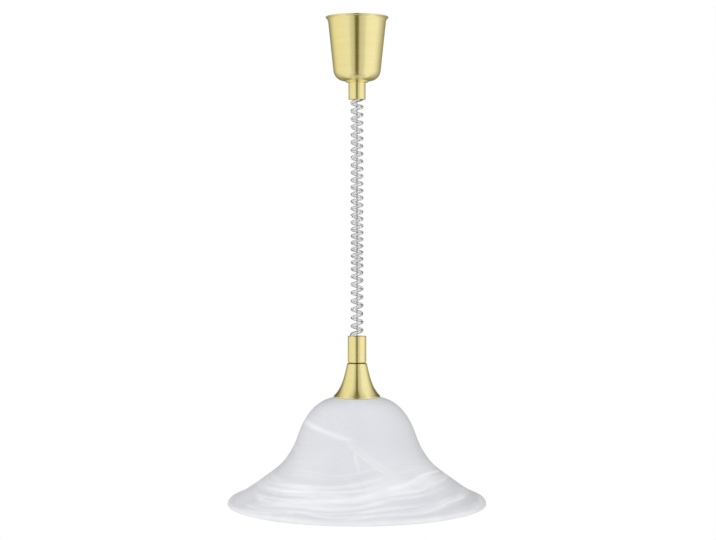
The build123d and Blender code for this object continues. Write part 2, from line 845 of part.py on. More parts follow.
# Cap let into the tube's top, which carries the lamp on the rope and passes the cord
with BuildPart() as tube_cap:
    with BuildSketch(Plane.XY.offset(level(cap_bottom_drop))):
        Circle(grip_bore_radius - thread_clearance)
        Circle(rope_radius + thread_clearance, mode=Mode.SUBTRACT)
        with Locations((cord_end_x, cord_end_y)):
            Circle(cord_hole_radius, mode=Mode.SUBTRACT)
    extrude(amount=cap_thickness)

rope_ferrule = ring(ferrule_radius, rope_radius + thread_clearance, cap_bottom_drop, ferrule_end_drop)

# Cord's tail from the cap through the nipple to the lampholder's insert
tail_bend_drop = ferrule_end_drop
tail_reach = nipple_top_drop - tail_bend_drop
tail_radius = (cord_end_radius**2 + tail_reach**2) / (4 * cord_end_radius)
insert_top_drop = holder_joint_drop - insert_flange_rise - insert_top_height
with BuildPart() as cord_tail:
    with BuildLine() as tail_path:
        tail_start = Vector(cord_end_x, cord_end_y, cord_end.Z)
        tail_bend = Vector(cord_end_x, cord_end_y, level(tail_bend_drop))
        tail_axis = Vector(0, 0, level(nipple_top_drop))
        Line(tail_start, tail_bend)
        TangentArc(tail_bend, (tail_bend + tail_axis) * 0.5, tangent=down)
        TangentArc(tail_axis, (tail_bend + tail_axis) * 0.5, tangent=down * -1)
        Line(tail_axis, (0, 0, level(insert_top_drop)))
    with BuildSketch(Plane(origin=tail_start, z_dir=down)):
        RegularPolygon(radius=cord_radius, side_count=cord_sides)
    sweep()

# Carrier nipple with its three nuts, which hold grip, cone and shade together
carrier_nipple = ring(nipple_radius, nipple_bore_radius, nipple_top_drop, nipple_bottom_drop)
nut_drops = [grip_bottom_drop - grip_floor - nut_height, cone_drop + cone_floor, washer_bottom_drop]
nipple_nuts = [hex_nut(nut_flats, nipple_radius + thread_clearance, drop, nut_height) for drop in nut_drops]

groove_ring = ring(groove_radius, nipple_radius + thread_clearance, grip_bottom_drop, cone_drop)

# Cone cover: a spun trumpet with a floor at its top
with BuildPart() as cone_cover:
    with BuildSketch(Plane.XZ):
        with BuildLine():
            cone_start = at(cone_top_radius, cone_drop)
            Line(at(nipple_radius + thread_clearance, cone_drop), cone_start)
            add(
                biarc(
                    (*cone_start, 0),
                    outline_direction(cone_top_angle),
                    (*at(cone_bottom_radius, cone_bottom_drop), 0),
                    outline_direction(cone_bottom_angle),
                )
            )
            offset(amount=cone_wall, side=Side.RIGHT)
        make_face()
        with Locations(at((nipple_radius + cone_top_radius) / 2, cone_drop + cone_floor / 2)):
            Rectangle(cone_top_radius - nipple_radius - 2 * cone_wall, cone_floor)
        with Locations(at(cone_bottom_radius, cone_bottom_drop + cone_wall)):
            Rectangle(4 * cone_wall, 2 * cone_wall, mode=Mode.SUBTRACT)
    revolve(axis=Axis.Z)

cone_gasket = ring(cone_bottom_radius, cone_bottom_radius - gasket_width, cone_bottom_drop, shade_drop)

# Glass shade: flat seat, sloping shoulder, waisted bell, wide flare and a turned-down lip
shoulder_start = at(shoulder_start_radius, shade_drop)
bell_stations = [
    (shoulder_radius, shoulder_share, shoulder_angle),
    (waist_radius, waist_share, waist_angle),
    (flare_radius, flare_share, flare_angle),
    (skirt_radius, skirt_share, skirt_angle),
]
bell_points = [at(radius, shade_drop + share * shade_height) for radius, share, angle in bell_stations]
bell_directions = [outline_direction(angle) for radius, share, angle in bell_stations]
lip_corner = at(shade_radius, shade_drop + lip_share * shade_height)
lip_end = at(shade_radius, shade_drop + shade_height)
with BuildPart() as glass_shade:
    with BuildSketch(Plane.XZ):
        with BuildLine():
            FilletPolyline(at(shade_hole_radius, shade_drop), shoulder_start, bell_points[0], radius=shoulder_round)
            for i in range(len(bell_stations) - 1):
                add(
                    biarc(
                        (*bell_points[i], 0),
                        bell_directions[i],
                        (*bell_points[i + 1], 0),
                        bell_directions[i + 1],
                    )
                )
            FilletPolyline(bell_points[-1], lip_corner, lip_end, radius=lip_round)
            offset(amount=shade_wall, side=Side.RIGHT)
        make_face()
    revolve(axis=Axis.Z)
    chamfer(glass_shade.edges().group_by(Axis.Z)[0], shade_edge)

# Grommet in the glass's hole, clamp washer under it
with BuildPart() as shade_grommet:
    with BuildSketch(Plane.XZ):
        neck_outer = shade_hole_radius - seat_clearance
        neck_inner = neck_outer - grommet_neck_wall
        with BuildLine():
            Polyline(
                at(neck_inner, shade_drop),
                at(neck_outer, shade_drop),
                at(neck_outer, shade_inside_drop),
                at(grommet_radius, shade_inside_drop),
                at(grommet_radius, washer_drop),
                at(neck_inner, washer_drop),
                close=True,
            )
        make_face()
    revolve(axis=Axis.Z)

clamp_washer = ring(grommet_radius, nipple_radius + thread_clearance, washer_drop, washer_bottom_drop)

# Lampholder cap: moulded dome of two slopes on a threaded neck
holder_dome_drop = holder_drop + holder_neck_height
dome_size = holder_radius - holder_neck_radius
dome_bottom_drop = holder_dome_drop + dome_size
dome_bulge = dome_size * math.sqrt(0.5)
holder_bore_radius = nipple_radius + thread_clearance
with BuildPart() as lampholder_cap:
    with BuildSketch(Plane.XZ):
        with BuildLine():
            Polyline(
                at(holder_bore_radius, holder_drop),
                at(holder_neck_radius, holder_drop),
                at(holder_neck_radius, holder_dome_drop),
                at(holder_neck_radius + dome_bulge, dome_bottom_drop - dome_bulge),
                at(holder_radius, dome_bottom_drop),
                at(holder_radius, holder_joint_drop),
                at(holder_radius - holder_wall, holder_joint_drop),
                at(holder_radius - holder_wall, dome_bottom_drop),
                at(holder_neck_radius, holder_dome_drop + holder_wall),
                at(holder_bore_radius, holder_dome_drop + holder_wall),
                close=True,
            )
        make_face()
    revolve(axis=Axis.Z)

# Lampholder shell: the lower half, stepped inside for the insert and the screw shell
shell_bore_radius = socket_radius + socket_wall + thread_clearance
insert_radius = holder_radius - holder_wall - seat_clearance
with BuildPart() as lampholder_shell:
    with BuildSketch(Plane.XZ):
        with BuildLine():
            Polyline(
                at(insert_radius + thread_clearance, holder_joint_drop),
                at(holder_shell_radius, holder_joint_drop),
                at(holder_shell_radius, holder_mouth_drop - holder_mouth_height),
                at(holder_mouth_radius, holder_mouth_drop),
                at(shell_bore_radius, holder_mouth_drop),
                at(shell_bore_radius, insert_ledge_drop),
                at(insert_radius + thread_clearance, insert_ledge_drop),
                close=True,
            )
        make_face()
    revolve(axis=Axis.Z)

# Ceramic insert: its flange lies on the shell's ledge
with BuildPart() as lampholder_insert:
    with BuildSketch(Plane.XZ):
        with BuildLine():
            Polyline(
                at(0, insert_top_drop),
                at(insert_top_radius, insert_top_drop),
                at(insert_top_radius, insert_ledge_drop - insert_flange_height),
                at(insert_radius, insert_ledge_drop - insert_flange_height),
                at(insert_radius, insert_ledge_drop),
                at(shell_bore_radius - seat_clearance, insert_ledge_drop),
                at(shell_bore_radius - seat_clearance, insert_foot_drop),
                at(0, insert_foot_drop),
                close=True,
            )
        make_face()
    revolve(axis=Axis.Z)

screw_shell = ring(socket_radius + socket_wall, socket_radius, socket_drop, socket_drop + socket_length)

# Centre contact: a brass button with a sloping edge on the insert
with BuildPart() as centre_contact:
    with BuildSketch(Plane.XY.offset(level(insert_foot_drop + contact_height))):
        Circle(contact_radius)
    extrude(amount=contact_height)
    chamfer(centre_contact.edges().group_by(Axis.Z)[0], contact_height / 2)

# Each piece under its own name. Screws, clips and nuts that are alike share one.
pieces = {
    "ceiling_cup": ceiling_cup.part,
    "flange_ring": flange_ring.part,
    "outlet_collar": outlet_collar.part,
    "collar_locknut": collar_locknut,
    "collar_set_screw": collar_set_screw,
    "hanger_plate": hanger_plate.part,
    "hanger_bolt": hanger_bolt,
    "hanger_nut": hanger_nut.part,
    "reel_housing_front": reel_housing_front,
    "reel_housing_back": reel_housing_back,
    "housing_screws": Compound(children=housing_screws),
    "reel_axle": reel_axle.part,
    "axle_clips": Compound(children=axle_clips),
    "rope_drum": rope_drum.part,
    "rope_winding": rope_winding.part,
    "clock_spring": clock_spring.part,
    "outlet_nozzle": outlet_nozzle.part,
    "nozzle_screws": Compound(children=nozzle_screws),
    "rope_guide": rope_guide.part,
    "rope_in_reel": rope_in_reel.part,
    "steel_rope": steel_rope.part,
    "cord_lead": cord_lead.part,
    "spiral_cord": spiral_cord.part,
    "cord_clamp": cord_clamp.part,
    "clamp_screws": Compound(children=clamp_screws),
    "terminal_block": terminal_block.part,
    "terminal_screws": Compound(children=terminal_screws),
    "live_wire": live_wire,
    "neutral_wire": neutral_wire,
    "earth_wire": earth_wire,
    "grip_tube": grip_tube.part,
    "tube_cap": tube_cap.part,
    "rope_ferrule": rope_ferrule,
    "cord_tail": cord_tail.part,
    "carrier_nipple": carrier_nipple,
    "nipple_nuts": Compound(children=nipple_nuts),
    "groove_ring": groove_ring,
    "cone_cover": cone_cover.part,
    "cone_gasket": cone_gasket,
    "glass_shade": glass_shade.part,
    "shade_grommet": shade_grommet.part,
    "clamp_washer": clamp_washer,
    "lampholder_cap": lampholder_cap.part,
    "lampholder_shell": lampholder_shell.part,
    "lampholder_insert": lampholder_insert.part,
    "screw_shell": screw_shell,
    "centre_contact": centre_contact.part,
}

os.makedirs("parts", exist_ok=True)
for name, piece in pieces.items():
    piece.label = name
    export_step(piece, f"parts/{name}.step")
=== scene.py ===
import json
from math import acos, atan2, ceil, cos, pi, radians, sin, tan

import bmesh
import bpy
from mathutils import Matrix, Vector
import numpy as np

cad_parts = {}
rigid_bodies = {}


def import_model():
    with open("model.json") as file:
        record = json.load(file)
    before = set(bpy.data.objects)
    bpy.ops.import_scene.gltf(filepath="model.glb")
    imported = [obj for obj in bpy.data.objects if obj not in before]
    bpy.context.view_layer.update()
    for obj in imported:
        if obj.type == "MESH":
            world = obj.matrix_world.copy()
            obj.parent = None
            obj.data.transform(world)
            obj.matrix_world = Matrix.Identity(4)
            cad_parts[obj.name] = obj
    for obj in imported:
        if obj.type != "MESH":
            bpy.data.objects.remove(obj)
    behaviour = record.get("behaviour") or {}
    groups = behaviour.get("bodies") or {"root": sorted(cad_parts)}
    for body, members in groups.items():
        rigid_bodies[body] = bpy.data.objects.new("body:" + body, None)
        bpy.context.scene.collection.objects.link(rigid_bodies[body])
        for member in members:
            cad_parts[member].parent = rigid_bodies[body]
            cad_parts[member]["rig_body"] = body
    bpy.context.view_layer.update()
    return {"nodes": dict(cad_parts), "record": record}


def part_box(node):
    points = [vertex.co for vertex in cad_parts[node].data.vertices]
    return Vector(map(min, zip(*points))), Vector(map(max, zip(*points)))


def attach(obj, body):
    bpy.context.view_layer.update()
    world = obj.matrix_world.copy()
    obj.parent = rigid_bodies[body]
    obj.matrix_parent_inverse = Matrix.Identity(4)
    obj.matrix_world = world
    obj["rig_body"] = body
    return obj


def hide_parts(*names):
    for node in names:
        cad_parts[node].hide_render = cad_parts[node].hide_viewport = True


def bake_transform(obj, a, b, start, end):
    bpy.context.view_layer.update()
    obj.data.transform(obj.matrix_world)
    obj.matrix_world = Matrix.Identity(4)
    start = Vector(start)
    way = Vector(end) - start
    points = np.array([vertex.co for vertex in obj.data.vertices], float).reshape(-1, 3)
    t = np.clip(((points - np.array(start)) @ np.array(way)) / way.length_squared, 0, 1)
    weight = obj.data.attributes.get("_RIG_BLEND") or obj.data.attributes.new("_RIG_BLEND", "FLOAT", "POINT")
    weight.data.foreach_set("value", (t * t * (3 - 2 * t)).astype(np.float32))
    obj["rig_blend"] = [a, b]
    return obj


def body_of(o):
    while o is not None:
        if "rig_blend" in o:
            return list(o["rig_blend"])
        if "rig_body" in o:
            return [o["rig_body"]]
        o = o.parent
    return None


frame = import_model()
nodes = frame["nodes"]
scene = bpy.context.scene

# Rise-and-fall pendant lamp with a glass bell shade. Sizes are in millimetres, as drops below the ceiling
# and distances from the lamp's axis, and become metres where a mesh is made. The origin is the hook.

# Roundings of edges, as turning and moulding leave them
crisp_edge = 0.2
broken_edge = 0.3
light_edge = 0.4
eased_edge = 0.5
soft_edge = 0.6
full_edge = 0.8
arc_step = radians(12)

# Ceiling cup and outlet
hook_drop = 24.0
cup_drop = 99.5
cup_base_radius = 34.8
cup_round = 17.0
cup_wall = 1.0
lip_radius = 0.9
lip_centre_radius = 47.5
lip_centre_drop = 2.0
lip_first_angle = 55.0
lip_turn = 235.0
lip_steps = 18
lip_foot_drop = 9.5
lip_foot_radius = 44.4
neck_hole_radius = 12.6
flange_radius = 17.5
flange_bottom_drop = 101.5
collar_radius = 13.15
collar_bore_radius = 11.8
collar_neck_radius = 12.5
collar_neck_drop = 94.0
collar_bottom_drop = 128.0
set_screw_drop = 106.5
set_screw_radius = 2.0
set_screw_head_radius = 4.0
set_screw_head_length = 4.0
set_screw_head_y = 13.45
set_screw_tip_y = 11.4
knurl_count = 30
knurl_depth = 0.35

# Directions of the flare under the lip, in degrees from straight down
flare_foot_heading = 173.0
flare_lip_heading = 125.0
inner_lip_heading = -20.0
inner_foot_heading = -7.0
flare_steps = 8

# Reel and rope
reel_x = 13.0
reel_drop = 61.0
rope_radius = 0.6
rope_strands = 6
rope_lay = 9.0
strand_steps = 4
strand_valley = 0.12
wound_radius = 13.6
winding_width = 17.0
winding_depth = 0.72
rope_lead_drop = 67.5
pivot_drop = 118.5

# Curly cord
cord_radius = 2.6
cord_sides = 14
nozzle_drop = 111.0
coil_radius = 7.4
coil_turns = 31.5
coil_lead_turn = 1 / 12
coil_start_drop = 124.0
coil_end_drop = 487.5
coil_waist_turn = 22.75
coil_ease_turns = 3.0
coil_stretch_top = 1.26
coil_stretch_bottom = 1.30
points_per_turn = 16
cord_end_radius = 8.0
cord_end_angle = 210.0
cord_end_drop = 499.7

# Last bend, from the curls into the grip: points across the axis and below the curls, and the offset of the
# point before the cord's end
cord_bend = ((-3.8, -7.9, 0.4), (-7.6, -7.2, 1.9), (-9.0, -5.4, 5.3))
cord_entry = (-0.4, -0.2, -2.9)

# Wiring in the cup
lead_top_drop = 72.0
block_bottom_drop = 62.0
block_front_x = -22.5
wire_x = -16.0
pole_pitch = 10.0
wire_radius = 0.8
wire_sides = 12
wire_spread = 1.7
wire_straight = 3.6
wire_seat = 4.0
pole_drops = (49.5, 57.5)
well_depth = 4.0

# Screws in the cup. Slots turn in degrees, and shares are of a head's length or radius.
terminal_screw_radius = 2.1
clamp_screw_x = -13.0
clamp_screw_y = 6.5
clamp_screw_drop = 78.0
clamp_screw_length = 10.65
nozzle_screw_x = 13.6
nozzle_screw_y = 5.0
nozzle_seat_drop = 88.0
nozzle_screw_length = 9.75
small_screw_radius = 1.4
housing_screw_radius = 1.5
screw_head_radius = 2.8
screw_head_length = 2.0
bolt_seat_y = -8.0
bolt_drop = 38.0
bolt_radius = 2.0
bolt_length = 19.2
bolt_head_radius = 3.6
bolt_head_length = 2.8
first_slot_turn = 25
next_slot_turn = 67
slot_floor_share = 0.45
slot_half_share = 0.16
head_ease_share = 0.12

# Grip and cone
grip_drop = 493.3
grip_radius = 14.3
grip_bore_radius = 13.1
grip_bottom_drop = 533.7
grip_floor_drop = 530.7
nipple_hole_radius = 5.1
nipple_top_drop = 523.7
ferrule_end_drop = 506.0
groove_radius = 12.8
cone_drop = 535.5
cone_top_radius = 15.2
cone_top_angle = 13.5
cone_top_ease_in = 0.6
cone_top_ease_down = 0.5
cone_flare_radius = 35.6
cone_flare_drop = 585.6
cone_flare_angle = 46.0
cone_rim_radius = 36.1
cone_rim_top_drop = 586.1
cone_rim_drop = 587.6
cone_wall = 1.0
cone_floor = 1.5
cone_steps = 24
gasket_inner_radius = 32.0
gasket_outer_radius = 34.3
gasket_top_drop = 586.5
gasket_inner_drop = 587.0
gasket_outer_drop = 587.5

# Glass shade. The stations of the bell are a radius, a drop, and degrees from straight down.
shade_drop = 586.3
shade_height = 166.5
shade_radius = 200.0
shade_wall = 4.0
shade_hole_radius = 21.0
bell_stations = (
    (shade_hole_radius, shade_drop, 90.0),
    (36.1, 588.0, 73.5),
    (55.7, 595.8, 59.6),
    (91.3, 646.5, 18.5),
    (131.3, 703.7, 55.0),
    (183.1, 739.4, 61.5),
)
ground_radius = 30.5
lip_corner_drop = 747.0
lip_round = 7.0
rim_round = 1.2

# Lampholder
holder_drop = 599.3
holder_bore_radius = 5.1
holder_neck_radius = 8.5
holder_dome_drop = 605.3
holder_dome_round = 9.0
holder_shoulder_drop = 610.3
holder_inside_drop = 616.8
holder_radius = 20.0
holder_joint_drop = 628.3
holder_wall = 2.4
shell_ring_radius = 20.8
shell_ring_drop = 632.3
shell_body_radius = 20.4
shell_body_drop = 632.9
shell_taper_drop = 650.3
shell_mouth_radius = 19.0
shell_mouth_drop = 662.3
shell_bore_radius = 14.3
shell_flutes = 36
shell_flute_depth = 0.7
insert_seat_radius = 17.4
insert_ledge_drop = 630.8
insert_top_drop = 622.3
socket_drop = 636.2
socket_bottom_drop = 656.2
socket_inner_radius = 13.2
socket_outer_radius = 14.2
socket_pitch = 3.63
socket_thread_depth = 0.5
socket_segments = 64
socket_rows = 60


def level(drop):
    """Height in metres of a point this far below the ceiling."""
    return (hook_drop - drop) / 1000


def spot(x, y, drop):
    """Point in metres from its place across the lamp's axis and its drop."""
    return Vector((x / 1000, y / 1000, level(drop)))


# Camera at the height of the middle of the cord, as in the photograph
camera_place = Vector((0.0015, -2.52, -0.299))
camera_aim = Vector((0.0015, 0, -0.367))
camera_data = bpy.data.cameras.new("camera")
camera_data.sensor_width = 36
camera_data.lens = 81.95
camera = bpy.data.objects.new("camera", camera_data)
scene.collection.objects.link(camera)
camera.location = camera_place
camera.rotation_euler = (camera_aim - camera_place).to_track_quat("-Z", "Y").to_euler()
scene.camera = camera
scene.view_settings.view_transform = "Standard"


def linear(hex_colour):
    """Linear colour of an sRGB hex value."""
    channels = []
    for start in (1, 3, 5):
        value = int(hex_colour[start : start + 2], 16) / 255
        channels.append(value / 12.92 if value <= 0.04045 else ((value + 0.055) / 1.055) ** 2.4)
    return (*channels, 1)


# Lets a map range ease in and out
smooth = {"interpolation_type": "SMOOTHSTEP"}


def give(tree, node, inputs):
    """Gives inputs of a node their values or links. A node given stands for its first output in use."""
    for name, value in inputs.items():
        if isinstance(value, bpy.types.Node):
            value = next(output for output in value.outputs if not output.is_unavailable)
        if isinstance(value, bpy.types.NodeSocket):
            tree.links.new(value, node.inputs[name])
        else:
            node.inputs[name].default_value = value


def add(tree, kind, inputs=None, stops=(), **settings):
    """Adds a shader node, sets its properties, and gives its inputs their values or links. A colour ramp
    has stops of position and colour."""
    node = tree.nodes.new("ShaderNode" + kind)
    for name, value in settings.items():
        setattr(node, name, value)
    while stops and len(node.color_ramp.elements) < len(stops):
        node.color_ramp.elements.new(0.5)
    for number, (position, colour) in enumerate(stops):
        node.color_ramp.elements[number].position = position
        node.color_ramp.elements[number].color = linear(colour)
    give(tree, node, inputs or {})
    return node


def new_material(name, **sockets):
    """Material with one Principled shader, whose uniform values are set on its own sockets."""
    material = bpy.data.materials.new(name)
    material.use_nodes = True
    tree = material.node_tree
    tree.nodes.clear()
    surface = add(tree, "BsdfPrincipled")
    give(tree, surface, {socket.replace("_", " "): value for socket, value in sockets.items()})
    add(tree, "OutputMaterial", {"Surface": surface})
    place = add(tree, "TexCoord").outputs["Object"]
    return material, tree, surface, place


def turned_brass(name, dark, light, ring_mm, dull, bright):
    """Brass turned on a lathe and lacquered. Fine rings round the axis give the eye a silky sheen, lighter
    and darker ring by ring. They are drawn much coarser than real tool marks, so that they show."""
    material, tree, surface, place = new_material(
        name, Metallic=1.0, Anisotropic=0.85, Anisotropic_Rotation=0.25
    )
    # A ring runs on for 40 times its width before it changes
    across = 1000 / ring_mm
    along = across / 40
    rings = add(tree, "Mapping", {"Vector": place, "Scale": (along, along, across)})
    marks = add(tree, "TexNoise", {"Vector": rings, "Scale": 1.0, "Detail": 3.0, "Roughness": 0.6})
    # Broad rings, about 11 mm wide, lie under the fine ones
    broad_rings = add(tree, "Mapping", {"Vector": place, "Scale": (6.0, 6.0, 90.0)})
    broad_marks = add(tree, "TexNoise", {"Vector": broad_rings, "Scale": 1.0, "Detail": 2.0})
    fine_tone = add(tree, "Math", {0: marks, 1: 0.65}, operation="MULTIPLY")
    tone = add(tree, "Math", {0: broad_marks, 1: 0.35, 2: fine_tone}, operation="MULTIPLY_ADD")
    ramp = add(tree, "ValToRGB", {"Fac": tone}, ((0.3, dark), (0.7, light)))
    polish_range = {"From Min": 0.3, "From Max": 0.7, "To Min": bright, "To Max": dull}
    polish = add(tree, "MapRange", {"Value": tone, **polish_range})
    relief = add(tree, "Bump", {"Height": marks, "Strength": 0.03, "Distance": 0.0001})
    give(tree, surface, {"Base Color": ramp, "Roughness": polish, "Normal": relief})
    return material


def moulded(name, dark, light, roughness, grain_mm, **sockets):
    """Injection-moulded or extruded piece. Spark-eroded moulds leave a fine even grain, which scatters the
    gloss, and the colour drifts a little over the surface, in patches about 14 mm wide."""
    material, tree, surface, place = new_material(name, **sockets)
    drift = add(tree, "TexNoise", {"Vector": place, "Scale": 70.0, "Detail": 3.0})
    ramp = add(tree, "ValToRGB", {"Fac": drift}, ((0.35, dark), (0.65, light)))
    grain = add(tree, "TexNoise", {"Vector": place, "Scale": 1000 / grain_mm, "Detail": 2.0})
    spread = 0.08
    gloss_range = {"To Min": roughness - spread, "To Max": roughness + spread}
    gloss = add(tree, "MapRange", {"Value": grain, **gloss_range})
    relief = add(tree, "Bump", {"Height": grain, "Strength": 0.15, "Distance": 0.0001})
    give(tree, surface, {"Base Color": ramp, "Roughness": gloss, "Normal": relief})
    return material


def zinc_plated(name, dark, light):
    """Steel with zinc plating. The thin plating has a cool blue-grey cast in soft patches a few millimetres
    wide, and handling leaves duller spots."""
    material, tree, surface, place = new_material(name, Metallic=1.0)
    patches = add(tree, "TexNoise", {"Vector": place, "Scale": 250.0, "Detail": 4.0, "Roughness": 0.6})
    ramp = add(tree, "ValToRGB", {"Fac": patches}, ((0.3, dark), (0.7, light)))
    dull = add(tree, "MapRange", {"Value": patches, "To Min": 0.48, "To Max": 0.26})
    give(tree, surface, {"Base Color": ramp, "Roughness": dull})
    return material


def swirled_glass():
    """Blown glass cased over a white layer, with more white stirred in while it was soft, then satin etched
    inside. The body is a cool pale grey, and the stirred white shows as cloudy streaks along the spin: long
    and nearly level in the flare, and a few bolder ones that climb the bell."""
    material, tree, surface, place = new_material(
        "blown_opal_glass_with_swirls", IOR=1.5, Specular_IOR_Level=0.25
    )
    split = add(tree, "SeparateXYZ", {"Vector": place}).outputs
    front = add(tree, "Math", {0: split["Y"], 1: -1.0}, operation="MULTIPLY")
    turn = add(tree, "Math", {0: split["X"], 1: front}, operation="ARCTAN2")
    drop = add(tree, "Math", {0: split["Z"], 1: -1000.0, 2: hook_drop}, operation="MULTIPLY_ADD")

    # Stirring carries the white up or down in millimetres, and round in radians, in waves about 110 mm long
    stir_drop = 8.0
    stir_turn = 0.12
    stir = add(tree, "TexNoise", {"Vector": place, "Scale": 9.0, "Detail": 0.6, "Roughness": 0.45})
    stirred = add(tree, "Math", {0: stir, 1: 2 * stir_drop, 2: -stir_drop}, operation="MULTIPLY_ADD")
    swirl_drop = add(tree, "Math", {0: drop, 1: stirred}, operation="ADD")
    sweep = add(tree, "Math", {0: stir, 1: 2 * stir_turn, 2: -stir_turn}, operation="MULTIPLY_ADD")
    swirl_turn = add(tree, "Math", {0: turn, 1: sweep}, operation="ADD")

    # Long thin threads, slightly slanted, thick in the flare and faint in the bell
    thread_slant_mm = 9.0
    thread_length_mm = 200.0
    thread_width_mm = 6.25
    lean = add(tree, "Math", {0: swirl_turn}, operation="SINE")
    slant = add(tree, "Math", {0: lean, 1: thread_slant_mm, 2: swirl_drop}, operation="MULTIPLY_ADD")
    along = add(tree, "CombineXYZ", {"X": split["X"], "Y": split["Y"], "Z": slant})
    length_scale = 1000 / thread_length_mm
    thread_scale = (length_scale, length_scale, 1 / thread_width_mm)
    thread = add(tree, "Mapping", {"Vector": along, "Scale": thread_scale})
    threads = add(tree, "TexNoise", {"Vector": thread, "Scale": 1.0, "Detail": 3.0, "Roughness": 0.55})
    fine = add(tree, "MapRange", {"Value": threads, "From Min": 0.4, "From Max": 0.72}, **smooth)
    lower_range = {"From Min": 676.0, "From Max": 712.0, "To Min": 0.08}
    lower = add(tree, "MapRange", {"Value": swirl_drop, **lower_range}, **smooth)
    white = add(tree, "Math", {0: fine, 1: lower}, operation="MULTIPLY")

    # Bold streaks: first and last angle in degrees, drop at the first, drop gained per radian and per
    # radian squared, half width in millimetres, and how white
    bold_streaks = (
        (-92, 4, 622.5, 3, 7, 6.5, 0.7),
        (-26, 44, 628, 52, 17, 9, 0.24),
        (-18, 40, 637, 77, 0, 4.5, 0.4),
        (-3, 3, 663, 210, 0, 14, 0.5),
        (-72, 84, 743, -25, 3.5, 7, 0.9),
        (8, 96, 720, -34, 15, 3.8, 1.0),
        (-105, 20, 705, 4, 1.5, 6, 0.5),
        (-80, 30, 726, 15, -10, 5, 0.7),
        (-60, 96, 733, 12, -6, 3, 0.55),
        (-128, -58, 738, 0, 0, 14, 0.5),
        (-180, 180, 749, 0, 0, 9, 0.75),
        (100, 190, 640, 25, 3, 7, 0.7),
        (150, 262, 729, -18, 4, 8, 0.8),
        (195, 258, 622, 20, 18, 6, 0.6),
        (110, 215, 722, 3, -3, 5, 0.6),
        (84, 165, 626, 10, 12, 5, 0.6),
        (70, 160, 668, -14, 8, 6, 0.45),
        (205, 300, 656, -8, 9, 6.5, 0.5),
        (225, 285, 690, -12, 2, 4, 0.5),
    )
    for first, last, start_drop, slope, bend, half_width, strength in bold_streaks:
        middle = radians(first + last) / 2
        half_span = radians(last - first) / 2
        # Angle from the streak's middle, brought round to within half a turn
        off = add(tree, "Math", {0: swirl_turn, 1: middle}, operation="SUBTRACT")
        near = add(tree, "Math", {0: off, 1: -pi, 2: pi}, operation="WRAP")
        run = add(tree, "Math", {0: near, 1: half_span}, operation="ADD")
        steep = add(tree, "Math", {0: run, 1: bend, 2: slope}, operation="MULTIPLY_ADD")
        line = add(tree, "Math", {0: run, 1: steep, 2: start_drop}, operation="MULTIPLY_ADD")
        miss = add(tree, "Math", {0: swirl_drop, 1: line}, operation="SUBTRACT")
        aside = add(tree, "Math", {0: miss}, operation="ABSOLUTE")
        body_range = {"From Max": half_width, "To Min": strength, "To Max": 0.0}
        body = add(tree, "MapRange", {"Value": aside, **body_range}, **smooth)
        # The outer part of its length fades out
        reach = add(tree, "Math", {0: near}, operation="ABSOLUTE")
        end_range = {"From Min": half_span * 0.55, "From Max": half_span, "To Min": 1.0, "To Max": 0.0}
        ends = add(tree, "MapRange", {"Value": reach, **end_range}, **smooth)
        streak = add(tree, "Math", {0: body, 1: ends}, operation="MULTIPLY")
        white = add(tree, "Math", {0: white, 1: streak}, operation="MAXIMUM")

    # Broken up by the cloudiness of the stirred white
    drawn = add(tree, "Mapping", {"Vector": place, "Scale": (22.0, 22.0, 70.0)})
    wisp = add(tree, "TexNoise", {"Vector": drawn, "Scale": 1.0, "Detail": 4.0, "Roughness": 0.6})
    broken = add(tree, "MapRange", {"Value": wisp, "From Min": 0.25, "From Max": 0.6, "To Min": 0.5})
    share = add(tree, "Math", {0: white, 1: broken}, operation="MULTIPLY", use_clamp=True)
    cloud = add(tree, "TexNoise", {"Vector": place, "Scale": 9.0, "Detail": 4.0})
    ground = add(tree, "ValToRGB", {"Fac": cloud}, ((0.35, "#DCDEE4"), (0.65, "#E2E4E9")))
    colour = add(tree, "Mix", {"Factor": share, "A": ground, "B": linear("#FAFAFD")}, data_type="RGBA")
    gloss = add(tree, "MapRange", {"Value": cloud, "To Min": 0.22, "To Max": 0.34})
    wave = add(tree, "Bump", {"Height": cloud, "Strength": 0.05, "Distance": 0.001})
    give(tree, surface, {"Base Color": colour, "Roughness": gloss, "Normal": wave})
    return material


